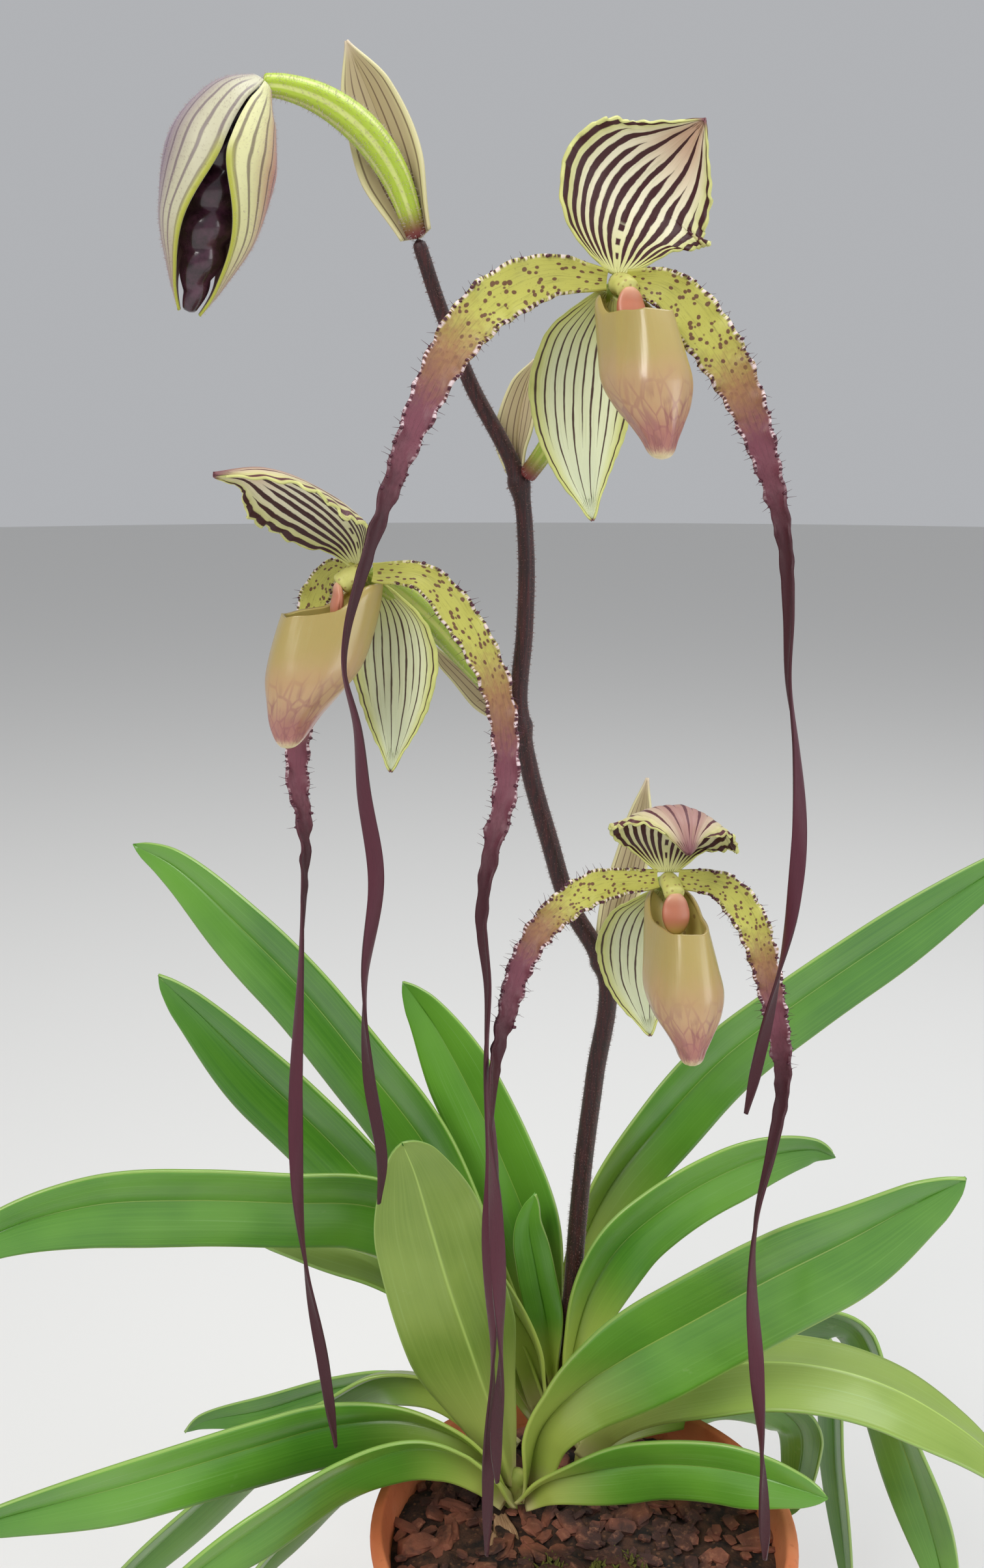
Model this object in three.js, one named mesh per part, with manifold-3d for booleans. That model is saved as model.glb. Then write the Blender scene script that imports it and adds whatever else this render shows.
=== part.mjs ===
// A potted slipper orchid of the kind with several flowers on one stem.
// Millimetres, +Z up, the pot's base on z = 0 and its axis on x = y = 0, seen from -Y.
import * as THREE from 'three';
import { mergeVertices } from 'three/addons/utils/BufferGeometryUtils.js';
import Module from 'manifold-3d';

const wasm = await Module();
wasm.setup();

// Driving dimensions
const POT_RIM_DIAMETER = 150;
const POT_HEIGHT = 140;
const POT_BASE_DIAMETER = 100;
const POT_WALL = 5;
const COLLAR_HEIGHT = 24;
const COLLAR_STEP = 3.5;
const MIX_BELOW_RIM = 11;
const CHIP_COUNT = 32;
const LEAF_THICKNESS = 1.2;
const TISSUE_THICKNESS = 0.8;
const CLEARANCE = 0.3;

// The eye that the plant was measured from: its place in front of the pot's axis, how far it looks
// down, and the lens in pixels with the middle of the picture.
const EYE = new THREE.Vector3(-32, -456, POT_HEIGHT + 371);
const LOOK_DOWN = THREE.MathUtils.degToRad(13);
const LENS = 2300;
const PICTURE_MIDDLE = [756, 1204.5];

// A point of the plant, from its place in the picture and its depth along +Y.
function seen([across, down, depth]) {
  const right = (across - PICTURE_MIDDLE[0]) / LENS;
  const up = (PICTURE_MIDDLE[1] - down) / LENS;
  const ray = new THREE.Vector3(
    right,
    Math.cos(LOOK_DOWN) + up * Math.sin(LOOK_DOWN),
    up * Math.cos(LOOK_DOWN) - Math.sin(LOOK_DOWN),
  );
  return ray.multiplyScalar((depth - EYE.y) / ray.y).add(EYE);
}

// A small repeatable random source
function seededRandom(seed) {
  let state = seed;
  return () => {
    state = (state * 1664525 + 1013904223) % 4294967296;
    return state / 4294967296;
  };
}

// Solids: three.js geometry in and out of the boolean library

function solidFrom(geometry) {
  const bare = geometry.clone();
  bare.deleteAttribute('normal');
  bare.deleteAttribute('uv');
  const merged = mergeVertices(bare, 1e-4);
  const mesh = new wasm.Mesh({
    numProp: 3,
    vertProperties: Float32Array.from(merged.attributes.position.array),
    triVerts: Uint32Array.from(merged.index.array),
  });
  return new wasm.Manifold(mesh);
}

function solidFromFaces(points, faces) {
  const mesh = new wasm.Mesh({
    numProp: 3,
    vertProperties: Float32Array.from(points.flatMap((point) => point.toArray())),
    triVerts: Uint32Array.from(faces.flat()),
  });
  return new wasm.Manifold(mesh);
}

function geometryFrom(solid) {
  const mesh = solid.getMesh();
  const geometry = new THREE.BufferGeometry();
  geometry.setAttribute('position', new THREE.BufferAttribute(Float32Array.from(mesh.vertProperties), 3));
  geometry.setIndex(new THREE.BufferAttribute(Uint32Array.from(mesh.triVerts), 1));
  geometry.computeVertexNormals();
  return geometry;
}

function largestBody(solid) {
  const bodies = solid.decompose();
  return bodies.reduce((best, body) => (body.volume() > best.volume() ? body : best));
}

// Frames along a route: the point, the way along, the face's normal and the side direction.
// A facing frame turns the face to the eye, a carried one keeps its first normal as it bends.
function framesAlong({ route, stations, roll = () => 0, carried = false, front = null, crowd = 1 }) {
  const curve = new THREE.CatmullRomCurve3(route, false, 'centripetal');
  curve.arcLengthDivisions = 400;
  const frames = [];
  let normal = null;
  for (let i = 0; i <= stations; i += 1) {
    const t = (i / stations) ** crowd;
    const point = curve.getPointAt(t);
    const along = curve.getTangentAt(t);
    if (normal === null || !carried) {
      normal = front ? front.clone() : EYE.clone().sub(point);
    }
    normal = normal.clone().addScaledVector(along, -normal.dot(along)).normalize();
    const face = normal.clone().applyAxisAngle(along, -roll(t));
    const side = along.clone().cross(face).normalize();
    frames.push({ t, point, along, face, side });
  }
  return frames;
}

// A closed thin solid over a grid of points, with both faces split into triangles alike
function sheet(grid, thickness, grow) {
  const rows = grid.length;
  const columns = grid[0].length;
  const pick = (i, j) => grid[Math.min(rows - 1, Math.max(0, i))][Math.min(columns - 1, Math.max(0, j))];
  const points = [];
  for (const facing of [1, -1]) {
    for (let i = 0; i < rows; i += 1) {
      for (let j = 0; j < columns; j += 1) {
        const down = pick(i + 1, j).clone().sub(pick(i - 1, j));
        const across = pick(i, j + 1).clone().sub(pick(i, j - 1));
        const normal = across.cross(down).normalize();
        points.push(pick(i, j).clone().addScaledVector(normal, facing * (thickness / 2 + grow)));
      }
    }
  }
  const top = (i, j) => i * columns + j;
  const under = (i, j) => rows * columns + i * columns + j;
  const faces = [];
  for (let i = 0; i < rows - 1; i += 1) {
    for (let j = 0; j < columns - 1; j += 1) {
      faces.push([top(i, j), top(i, j + 1), top(i + 1, j + 1)], [top(i, j), top(i + 1, j + 1), top(i + 1, j)]);
      faces.push([under(i, j), under(i + 1, j + 1), under(i, j + 1)]);
      faces.push([under(i, j), under(i + 1, j), under(i + 1, j + 1)]);
    }
  }
  const wall = (a, b, c, d) => faces.push([a, b, c], [a, c, d]);
  for (let i = 0; i < rows - 1; i += 1) {
    wall(top(i, 0), top(i + 1, 0), under(i + 1, 0), under(i, 0));
    wall(top(i + 1, columns - 1), top(i, columns - 1), under(i, columns - 1), under(i + 1, columns - 1));
  }
  for (let j = 0; j < columns - 1; j += 1) {
    wall(top(0, j + 1), top(0, j), under(0, j), under(0, j + 1));
    wall(top(rows - 1, j), top(rows - 1, j + 1), under(rows - 1, j + 1), under(rows - 1, j));
  }
  return solidFromFaces(points, faces);
}

// A blade: leaf, sepal, petal or bract. Each station is a V or a cup across its width.
function blade({
  route, stations, columns = 4, width, fold = () => 0, cup = () => 0, wave = () => 0,
  thickness = TISSUE_THICKNESS, grow = 0, ...framing
}) {
  const frames = framesAlong({ route, stations, ...framing });
  const last = frames.length - 1;
  const grid = frames.map(({ t, point, along, face, side }, i) => {
    const centre = point.clone();
    if (i === 0) centre.addScaledVector(along, -grow);
    if (i === last) centre.addScaledVector(along, grow);
    const half = width(t) / 2 + grow;
    const row = [];
    for (let j = 0; j <= columns; j += 1) {
      const q = (2 * j) / columns - 1;
      const out = Math.abs(q) * half;
      const lift = out * Math.sin(fold(t)) + cup(t) * q * q + wave(t, q);
      const place = centre.clone().addScaledVector(side, Math.sign(q) * out * Math.cos(fold(t)));
      row.push(place.addScaledVector(face, lift));
    }
    return row;
  });
  return sheet(grid, thickness, grow);
}

// A closed solid over rings of points, with a fan at each end
function loft(rings) {
  const sides = rings[0].length;
  const points = rings.flat();
  const faces = [];
  for (let i = 0; i < rings.length - 1; i += 1) {
    for (let j = 0; j < sides; j += 1) {
      const next = (j + 1) % sides;
      const [a, b] = [i * sides + j, i * sides + next];
      const [c, d] = [(i + 1) * sides + next, (i + 1) * sides + j];
      faces.push([a, b, c], [a, c, d]);
    }
  }
  for (const [ring, turned] of [[0, true], [rings.length - 1, false]]) {
    const middle = new THREE.Vector3();
    rings[ring].forEach((point) => middle.addScaledVector(point, 1 / sides));
    points.push(middle);
    const hub = points.length - 1;
    for (let j = 0; j < sides; j += 1) {
      const [a, b] = [ring * sides + j, ring * sides + ((j + 1) % sides)];
      faces.push(turned ? [hub, b, a] : [hub, a, b]);
    }
  }
  const solid = solidFromFaces(points, faces);
  return solid.volume() > 0 ? solid : solidFromFaces(points, faces.map(([a, b, c]) => [a, c, b]));
}

// A round or ribbed rod along a route
function rod({ route, stations, sides = 8, radius, rib = 0, grow = 0, ...framing }) {
  const frames = framesAlong({ route, stations, ...framing });
  const last = frames.length - 1;
  return loft(frames.map(({ t, point, along, face, side }, i) => {
    const centre = point.clone();
    if (i === 0) centre.addScaledVector(along, -grow);
    if (i === last) centre.addScaledVector(along, grow);
    const ring = [];
    for (let j = 0; j < sides; j += 1) {
      const turn = (2 * Math.PI * j) / sides;
      const reach = radius(t) * (1 + rib * (j % 2 ? -1 : 1)) + grow;
      ring.push(centre.clone().addScaledVector(side, reach * Math.cos(turn)).addScaledVector(face, reach * Math.sin(turn)));
    }
    return ring;
  }));
}

// A value that runs smoothly through pairs of place and amount
function profile(...stops) {
  return (t) => {
    let k = 0;
    while (k < stops.length - 2 && t > stops[k + 1][0]) k += 1;
    const [[from, low], [to, high]] = [stops[k], stops[k + 1]];
    const s = THREE.MathUtils.clamp((t - from) / (to - from), 0, 1);
    return low + (high - low) * s * s * (3 - 2 * s);
  };
}

const degrees = (...stops) => profile(...stops.map(([t, angle]) => [t, THREE.MathUtils.degToRad(angle)]));

// The pieces placed so far. A new piece is cut back to the clearance from each of them.
const placed = [];
const plant = new THREE.Group();

function place(name, colour, roughness, make, clearance = CLEARANCE) {
  let body = make(0);
  const room = make(clearance);
  const whole = body.volume();
  const box = room.boundingBox();
  for (const other of placed) {
    const apart = [0, 1, 2].some((k) => other.box.min[k] > box.max[k] || other.box.max[k] < box.min[k]);
    if (!apart) body = body.subtract(other.room);
  }
  body = largestBody(body);
  placed.push({ name, room, box, kept: body.volume() / whole });
  const material = new THREE.MeshStandardMaterial({ color: colour, roughness, metalness: 0 });
  const mesh = new THREE.Mesh(geometryFrom(body), material);
  mesh.name = name;
  plant.add(mesh);
}

// The pot: thrown terracotta with a collar, and drainage holes round the middle of its floor

const RIM_RADIUS = POT_RIM_DIAMETER / 2;
const FLOOR_THICKNESS = 10;
const POT_FACETS = 28;
const COLLAR_FOOT = POT_HEIGHT - COLLAR_HEIGHT;

function latheSolid(outline, facets) {
  const turned = new THREE.LatheGeometry(outline.map(([r, z]) => new THREE.Vector2(r, z)), facets);
  return solidFrom(turned.rotateX(Math.PI / 2));
}

const innerRadiusAt = (z) => THREE.MathUtils.mapLinear(
  z, FLOOR_THICKNESS, POT_HEIGHT, POT_BASE_DIAMETER / 2 - POT_WALL, RIM_RADIUS - POT_WALL,
);

function pot(grow) {
  const bodyTop = RIM_RADIUS - COLLAR_STEP - 4;
  const shell = latheSolid([
    [0, -grow],
    [POT_BASE_DIAMETER / 2 + grow, -grow],
    [bodyTop + grow, COLLAR_FOOT - grow],
    [RIM_RADIUS - 3 + grow, COLLAR_FOOT + 2 - grow],
    [RIM_RADIUS + grow, POT_HEIGHT - 3],
    [RIM_RADIUS - 1 + grow, POT_HEIGHT - 0.8 + grow],
    [RIM_RADIUS - POT_WALL + 1 - grow, POT_HEIGHT + grow],
    [RIM_RADIUS - POT_WALL - grow, POT_HEIGHT - 2],
    [innerRadiusAt(FLOOR_THICKNESS) - grow, FLOOR_THICKNESS + grow],
    [0, FLOOR_THICKNESS + grow],
  ], POT_FACETS);
  const holes = [0, 1, 2, 3].map((turn) => {
    const drill = new THREE.CylinderGeometry(5 - grow, 5 - grow, 3 * FLOOR_THICKNESS, 12).rotateX(Math.PI / 2);
    const angle = (turn + 0.5) * (Math.PI / 2);
    return solidFrom(drill.translate(26 * Math.cos(angle), 26 * Math.sin(angle), 0));
  });
  return holes.reduce((left, hole) => left.subtract(hole), shell);
}

// The rootstock: a creeping rhizome with three short upright stems and fleshy roots

const MIX_TOP = POT_HEIGHT - MIX_BELOW_RIM;
const GROWTHS = {
  front: new THREE.Vector3(-23, 20, MIX_TOP),
  middle: new THREE.Vector3(-11, 51, MIX_TOP),
  back: new THREE.Vector3(4, 40, MIX_TOP),
};
const STEM_RADIUS = 5;

function rootstock(grow) {
  const { front, middle, back } = GROWTHS;
  const under = (growth, drop) => growth.clone().setZ(MIX_TOP - drop);
  const runners = [[front, back], [back, middle]].map(([from, to]) => rod({
    route: [under(from, 8), under(to, 7)], stations: 1, sides: 6, radius: () => 5, grow,
  }));
  const uprights = [[front, 16], [middle, 26], [back, 14]].map(([growth, tall]) => rod({
    route: [under(growth, 10), under(growth, 0), under(growth, -tall)],
    stations: 3, sides: 6, radius: profile([0, STEM_RADIUS], [0.4, STEM_RADIUS], [1, 3.5]), grow,
  }));
  const roots = [0, 1, 2, 3].map((k) => {
    const angle = (k / 4) * 2 * Math.PI + 0.4;
    const from = [front, back, middle][k % 3];
    const out = (reach, z) => new THREE.Vector3(
      from.x * (1 - reach / 80) + reach * Math.cos(angle), from.y * (1 - reach / 80) + reach * Math.sin(angle), z,
    );
    return rod({
      route: [under(from, 9), out(12, MIX_TOP - 22), out(26, MIX_TOP - 48), out(22, MIX_TOP - 88)],
      stations: 3, sides: 5, radius: profile([0, 2], [1, 1.6]), grow,
    });
  });
  return [...runners, ...uprights, ...roots].reduce((all, piece) => all.add(piece));
}

// The flower stem: dark, with a ringed node under each flower

const STEM_ROUTE = [
  [862, 2150, 52], [864, 2100, 51], [866, 2050, 48], [877, 2000, 46], [886, 1892, 42], [898, 1771, 38],
  [914, 1651, 34], [932, 1500, 30], [873, 1386, 28], [843, 1289, 26], [813, 1181, 24], [797, 1085, 22],
  [806, 964, 21], [808, 843, 20], [794, 732, 19], [723, 590, 17], [675, 470, 15], [641, 366, 13],
].map(seen);
const STEM_NODES = [0.435, 0.64, 0.82];

function flowerStem(grow) {
  const taper = profile([0, 3.4], [0.5, 3.1], [1, 2.1]);
  const swelling = (t) => STEM_NODES.reduce((most, node) => Math.max(most, 1.1 * Math.exp(-(((t - node) / 0.011) ** 2))), 0);
  return rod({ route: STEM_ROUTE, stations: 36, sides: 7, radius: (t) => taper(t) + swelling(t), grow });
}

// Leaves: thick straps, folded along a keel, narrow and steep at the base, blunt at the tip.
// The turn about the midrib is 0 when the upper face looks at the eye.

const LEAVES = {
  leaf_upper_left_long: {
    route: [[846, 2150, 52], [800, 2035, 56], [735, 1900, 61], [651, 1752, 68], [560, 1635, 75], [470, 1525, 83],
      [372, 1425, 92], [270, 1330, 102], [205, 1297, 108]],
    width: 38, turn: [30, 42, 40],
  },
  leaf_upper_left_second: {
    route: [[838, 2155, 48], [790, 2060, 49], [700, 1950, 50], [600, 1850, 50], [500, 1745, 48], [400, 1650, 45],
      [310, 1560, 41], [243, 1498, 38]],
    width: 36, turn: [30, 40, 40],
  },
  leaf_upper_left_inner: {
    route: [[852, 2130, 54], [845, 2040, 58], [818, 1900, 64], [772, 1780, 70], [720, 1670, 76], [665, 1570, 82],
      [620, 1508, 86]],
    width: 33, turn: [20, 22, 20],
  },
  leaf_inner_short: {
    route: [[850, 2120, 47], [842, 2040, 46], [824, 1950, 46], [813, 1880, 47], [823, 1834, 48]],
    width: 17, turn: [10, 10, 0],
  },
  leaf_far_left: {
    route: [[842, 2150, 46], [820, 2060, 43], [750, 1960, 38], [660, 1885, 32], [560, 1850, 24], [440, 1846, 14],
      [300, 1842, 2], [140, 1850, -12], [0, 1890, -22], [-90, 1950, -27]],
    width: 40, turn: [35, 48, 40],
  },
  leaf_far_left_lower: {
    route: [[832, 2172, 54], [806, 2126, 56], [750, 2056, 57], [672, 1988, 56], [580, 1936, 54], [480, 1908, 52],
      [380, 1892, 50]],
    width: 30, turn: [30, 115, 125],
  },
  leaf_upper_right_long: {
    route: [[858, 2130, 56], [868, 2020, 61], [890, 1920, 66], [935, 1825, 72], [1010, 1730, 79], [1110, 1625, 87],
      [1230, 1535, 96], [1370, 1440, 106], [1512, 1345, 115], [1600, 1290, 120]],
    width: 35, turn: [-20, -38, -40],
  },
  leaf_upper_right_arched: {
    route: [[868, 2150, 46], [882, 2060, 46], [905, 1985, 47], [950, 1915, 49], [1010, 1862, 52], [1090, 1812, 56],
      [1180, 1775, 60], [1250, 1765, 63], [1283, 1776, 64]],
    width: 33, turn: [-25, -42, -50],
  },
  leaf_middle_folded: {
    route: [[786, 2285, 17], [765, 2200, 13], [728, 2090, 5], [690, 1980, -3], [660, 1880, -9], [636, 1800, -14],
      [617, 1755, -17]],
    width: 46, turn: [170, 172, 176], open: 22,
  },
  leaf_right_broad: {
    route: [[808, 2280, 18], [830, 2195, 14], [885, 2135, 8], [960, 2085, 0], [1060, 2030, -9], [1180, 1965, -21],
      [1310, 1900, -33], [1420, 1840, -43], [1484, 1810, -48]],
    width: 44, turn: [-30, -38, -40],
  },
  leaf_right_low_front: {
    route: [[805, 2296, 14], [840, 2275, 8], [910, 2258, 1], [1000, 2248, -8], [1090, 2252, -17], [1180, 2270, -26],
      [1272, 2300, -33]],
    width: 30, turn: [-40, -48, -42],
  },
  leaf_right_bent: {
    route: [[880, 2215, 44], [930, 2130, 50], [1030, 2050, 55], [1150, 2020, 57], [1250, 2015, 56], [1318, 2040, 54],
      [1362, 2145, 50], [1410, 2285, 48], [1446, 2409, 47], [1458, 2480, 47]],
    width: 33, turn: [-60, -70, -20],
  },
  leaf_right_hanging: {
    route: [[884, 2205, 50], [950, 2110, 60], [1060, 2050, 70], [1170, 2030, 78], [1250, 2050, 83], [1277, 2110, 85],
      [1286, 2260, 85], [1300, 2400, 84], [1305, 2455, 84]],
    width: 22, turn: [-50, -60, -50],
  },
  leaf_right_pale: {
    route: [[884, 2232, 38], [925, 2180, 34], [1010, 2128, 27], [1120, 2098, 18], [1240, 2098, 9], [1360, 2130, 1],
      [1480, 2200, -6], [1580, 2290, -11]],
    width: 37, turn: [-120, -138, -125],
  },
  leaf_right_back_small: {
    route: [[892, 2228, 42], [940, 2196, 47], [1026, 2160, 55], [1110, 2142, 63], [1190, 2160, 70], [1232, 2200, 74],
      [1228, 2270, 74], [1214, 2328, 73]],
    width: 27, turn: [-60, -60, -20],
  },
  leaf_left_low: {
    route: [[782, 2290, 22], [748, 2240, 18], [690, 2200, 12], [610, 2180, 5], [510, 2188, -4], [400, 2218, -14],
      [200, 2278, -33], [0, 2330, -50], [-70, 2352, -56]],
    width: 34, turn: [40, 52, 48],
  },
  leaf_left_arched_back: {
    route: [[776, 2255, 30], [740, 2170, 34], [670, 2118, 38], [585, 2110, 41], [505, 2150, 43], [420, 2210, 43],
      [320, 2300, 42], [205, 2409, 40], [130, 2490, 38]],
    width: 35, turn: [45, 70, 60],
  },
  leaf_left_low_front: {
    route: [[784, 2294, 16], [750, 2258, 11], [695, 2228, 6], [630, 2222, 0], [520, 2262, -12], [410, 2334, -24],
      [305, 2409, -34], [240, 2460, -40]],
    width: 34, turn: [50, 66, 60],
  },
  leaf_left_lower_back: {
    route: [[778, 2284, 27], [730, 2244, 26], [650, 2225, 22], [570, 2245, 17], [490, 2310, 14], [420, 2385, 13],
      [370, 2450, 12]],
    width: 27, turn: [60, 80, 70],
  },
  leaf_left_small_dark: {
    route: [[800, 2215, 54], [720, 2150, 66], [620, 2118, 78], [520, 2130, 87], [400, 2166, 95], [310, 2184, 100],
      [284, 2200, 101]],
    width: 19, turn: [50, 50, 30],
  },
};

function leaf({ route, width, turn, open = 14 }) {
  const outline = profile([0, 0.46 * width], [0.14, 0.62 * width], [0.42, width], [0.72, 0.94 * width],
    [0.93, 0.5 * width], [1, 0.14 * width]);
  return (grow) => blade({
    route: route.map(seen), stations: 10, columns: 4, width: outline,
    roll: degrees([0, turn[0]], [0.4, turn[1]], [1, turn[2]]),
    fold: degrees([0, 62], [0.2, 38], [0.5, open], [1, open]),
    thickness: LEAF_THICKNESS, grow,
  });
}

// Flowers. Each hangs on its ovary at a hub, and faces the way its heading and tilt say.

const FLOWERS = {
  flower_top: {
    hub: [948, 436, -8], heading: 38, tilt: 2,
    ovary: [[806, 735, 18], [832, 700, 16], [868, 640, 14], [905, 560, 8], [936, 478, 0], [948, 438, -7]],
    bract: { route: [[797, 728, 22], [795, 680, 24], [803, 620, 25], [822, 552, 25]], width: 17, turn: 20 },
    dorsal: {
      route: [[946, 422, -9], [950, 356, -5], [972, 292, -3], [1024, 230, -7], [1086, 184, -17]], width: 45, cup: 9,
    },
    synsepal: { route: [[936, 450, -7], [905, 530, 1], [895, 620, 4], [898, 720, 4], [911, 800, 2]], width: 31, turn: 0 },
    leftPetal: {
      route: [[932, 430, -10], [845, 424, -13], [771, 455, -18], [723, 498, -23], [675, 572, -30], [626, 678, -38],
        [590, 773, -46], [554, 880, -52], [531, 966, -54], [527, 1030, -54], [547, 1120, -53], [558, 1217, -51],
        [578, 1349, -48], [562, 1506, -46], [567, 1651, -44], [587, 1783, -42], [582, 1849, -41]],
      turn: [0, -10, 40, 150, 420],
    },
    rightPetal: {
      route: [[962, 430, -12], [1026, 446, -15], [1084, 510, -17], [1133, 590, -19], [1175, 699, -21], [1205, 819, -24],
        [1214, 940, -27], [1214, 1048, -29], [1226, 1157, -31], [1229, 1277, -33], [1217, 1398, -35],
        [1193, 1506, -36], [1169, 1614, -37], [1146, 1711, -38]],
      turn: [0, 10, -30, -120, -400],
    },
  },
  flower_left: {
    hub: [560, 880, -6], heading: -72, tilt: -6,
    ovary: [[796, 1094, 22], [765, 1066, 19], [722, 1020, 15], [670, 960, 10], [615, 910, 2], [564, 882, -4]],
    bract: { route: [[790, 1098, 27], [760, 1072, 27], [715, 1032, 24], [662, 988, 20]], width: 16, turn: 60 },
    dorsal: {
      route: [[556, 868, -7], [548, 828, -6], [522, 792, -8], [470, 752, -14], [399, 722, -22], [328, 727, -28]],
      width: 44, cup: 9, turn: -30,
    },
    synsepal: { route: [[578, 894, -2], [606, 950, 3], [614, 1030, 5], [610, 1110, 4], [602, 1186, 0]], width: 29, turn: -20 },
    leftPetal: {
      route: [[546, 880, -6], [508, 882, 4], [482, 930, 10], [466, 1010, 10], [462, 1110, 6], [456, 1193, 2],
        [466, 1277, -2], [464, 1386, -6], [458, 1542, -10], [454, 1687, -14], [458, 1831, -18], [476, 1976, -20],
        [497, 2096, -22], [516, 2223, -23]],
      turn: [0, -40, 60, 160, 420],
    },
    rightPetal: {
      route: [[574, 880, -9], [651, 888, -14], [711, 955, -18], [759, 1048, -22], [777, 1145, -26], [777, 1217, -29],
        [755, 1313, -33], [742, 1410, -36], [752, 1518, -39], [749, 1627, -42], [757, 1783, -46], [752, 1900, -48],
        [756, 2080, -50], [750, 2265, -51], [748, 2390, -52]],
      turn: [0, 12, -40, -140, -420],
    },
  },
  flower_bottom: {
    hub: [1026, 1352, -8], heading: 10, tilt: 0,
    ovary: [[934, 1500, 27], [958, 1468, 22], [990, 1424, 15], [1012, 1382, 5], [1025, 1354, -6]],
    bract: { route: [[926, 1480, 34], [950, 1400, 38], [975, 1310, 40], [995, 1195, 41]], width: 17, turn: 10 },
    dorsal: {
      route: [[1024, 1340, -9], [1024, 1296, -6], [1034, 1256, -10], [1048, 1240, -21], [1057, 1266, -31],
        [1060, 1312, -36]],
      width: 40, cup: 9,
    },
    synsepal: { route: [[1018, 1368, -6], [996, 1430, 2], [988, 1500, 5], [994, 1556, 5], [1000, 1590, 4]], width: 30, turn: 0 },
    leftPetal: {
      route: [[1010, 1350, -11], [916, 1364, -16], [843, 1416, -22], [801, 1482, -28], [778, 1556, -34],
        [762, 1618, -39], [752, 1720, -60], [762, 1878, -58], [771, 2100, -56], [763, 2200, -55], [764, 2278, -55]],
      turn: [0, -12, 40, 150, 400],
    },
    rightPetal: {
      route: [[1042, 1350, -11], [1108, 1362, -14], [1151, 1412, -17], [1175, 1484, -20], [1193, 1566, -23],
        [1204, 1663, -28], [1187, 1771, -35], [1163, 1879, -42], [1157, 1988, -46], [1163, 2108, -49],
        [1169, 2229, -51], [1175, 2349, -52], [1175, 2396, -52]],
      turn: [0, 12, -30, -120, -380],
    },
  },
};

// The flower's own axes: right, forward and up, from its heading and tilt
function flowerAxes({ hub, heading, tilt }) {
  const [turn, lift] = [THREE.MathUtils.degToRad(heading), THREE.MathUtils.degToRad(tilt)];
  const level = new THREE.Vector3(Math.sin(turn), -Math.cos(turn), 0);
  const forward = level.clone().multiplyScalar(Math.cos(lift)).setZ(Math.sin(lift));
  const right = new THREE.Vector3(Math.cos(turn), Math.sin(turn), 0);
  const up = forward.clone().cross(right);
  const middle = seen(hub);
  const at = (r, f, u) => middle.clone().addScaledVector(right, r).addScaledVector(forward, f).addScaledVector(up, u);
  return { right, forward, up, middle, at };
}

// The pouch: rings from the toe up to the mouth, as forward and up places with half width and depth.
// The tilt lowers the front of a ring and lifts its back.
const POUCH_RINGS = [
  { forward: 24.5, up: -51, half: 3.2, deep: 2.6, tilt: 1 },
  { forward: 23, up: -48.5, half: 6.2, deep: 5.4, tilt: 1 },
  { forward: 20.5, up: -44, half: 9.2, deep: 8.8, tilt: 1 },
  { forward: 17.5, up: -37, half: 11.2, deep: 12.2, tilt: 0 },
  { forward: 15, up: -28, half: 12, deep: 14.8, tilt: 1 },
  { forward: 12.6, up: -19.5, half: 11.4, deep: 15.6, tilt: 2.5 },
  { forward: 11, up: -13.5, half: 10.6, deep: 15.4, tilt: 4.5 },
  { forward: 10.2, up: -9.2, half: 10, deep: 14.6, tilt: 5.5 },
];
const POUCH_SIDES = 10;
const POUCH_WALL = 1.1;

function pouch(flower) {
  const { at } = flowerAxes(flower);
  const ringOf = ({ forward, up, half, deep, tilt }, offset) => {
    const ring = [];
    for (let j = 0; j < POUCH_SIDES; j += 1) {
      const turn = (2 * Math.PI * j) / POUCH_SIDES;
      const front = Math.sin(turn);
      const narrowing = 1 - 0.22 * Math.max(0, front) * (tilt / 5.5);
      ring.push(at((half + offset) * Math.cos(turn) * narrowing, forward + (deep + offset) * front, up - tilt * front));
    }
    return ring;
  };
  return (grow) => {
    const rings = POUCH_RINGS.map((ring, i) => (i === POUCH_RINGS.length - 1 ? { ...ring, up: ring.up + grow } : ring));
    const outer = rings.map((ring) => ringOf(ring, grow));
    outer.unshift(ringOf({ ...POUCH_RINGS[0], up: POUCH_RINGS[0].up - 1.2 - grow, half: 1, deep: 1 }, 0));
    const lining = rings.slice(1).reverse();
    const inner = lining.map((ring) => ringOf(ring, -POUCH_WALL - grow));
    inner.push(ringOf({ ...POUCH_RINGS[0], up: POUCH_RINGS[0].up + 1.4 + grow, half: 1, deep: 1 }, 0));
    return loft([...outer, ...inner]);
  };
}

// The column: a short stub with the shield in front of the pouch's mouth, grown as one
function column(flower) {
  const { at, right, forward, up } = flowerAxes(flower);
  const turned = new THREE.Matrix4().makeBasis(right, forward.clone().negate(), up);
  return (grow) => {
    const stub = rod({
      route: [at(0, -1, 0), at(0, 5, -1), at(0, 11, -4)], stations: 3, sides: 7, radius: profile([0, 3], [1, 3.4]), grow,
    });
    const dome = new THREE.SphereGeometry(1, 8, 6);
    dome.scale(4.6 + grow, 1.9 + grow, 7 + grow).rotateX(THREE.MathUtils.degToRad(-38));
    dome.applyMatrix4(turned).translate(...at(0, 14, -6.5).toArray());
    return stub.add(solidFrom(dome));
  };
}

function ovary(flower) {
  const thick = profile([0, 2.6], [0.3, 3], [0.6, 4], [0.88, 3.8], [1, 3]);
  return (grow) => rod({ route: flower.ovary.map(seen), stations: 7, sides: 10, radius: thick, rib: 0.07, grow });
}

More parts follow.
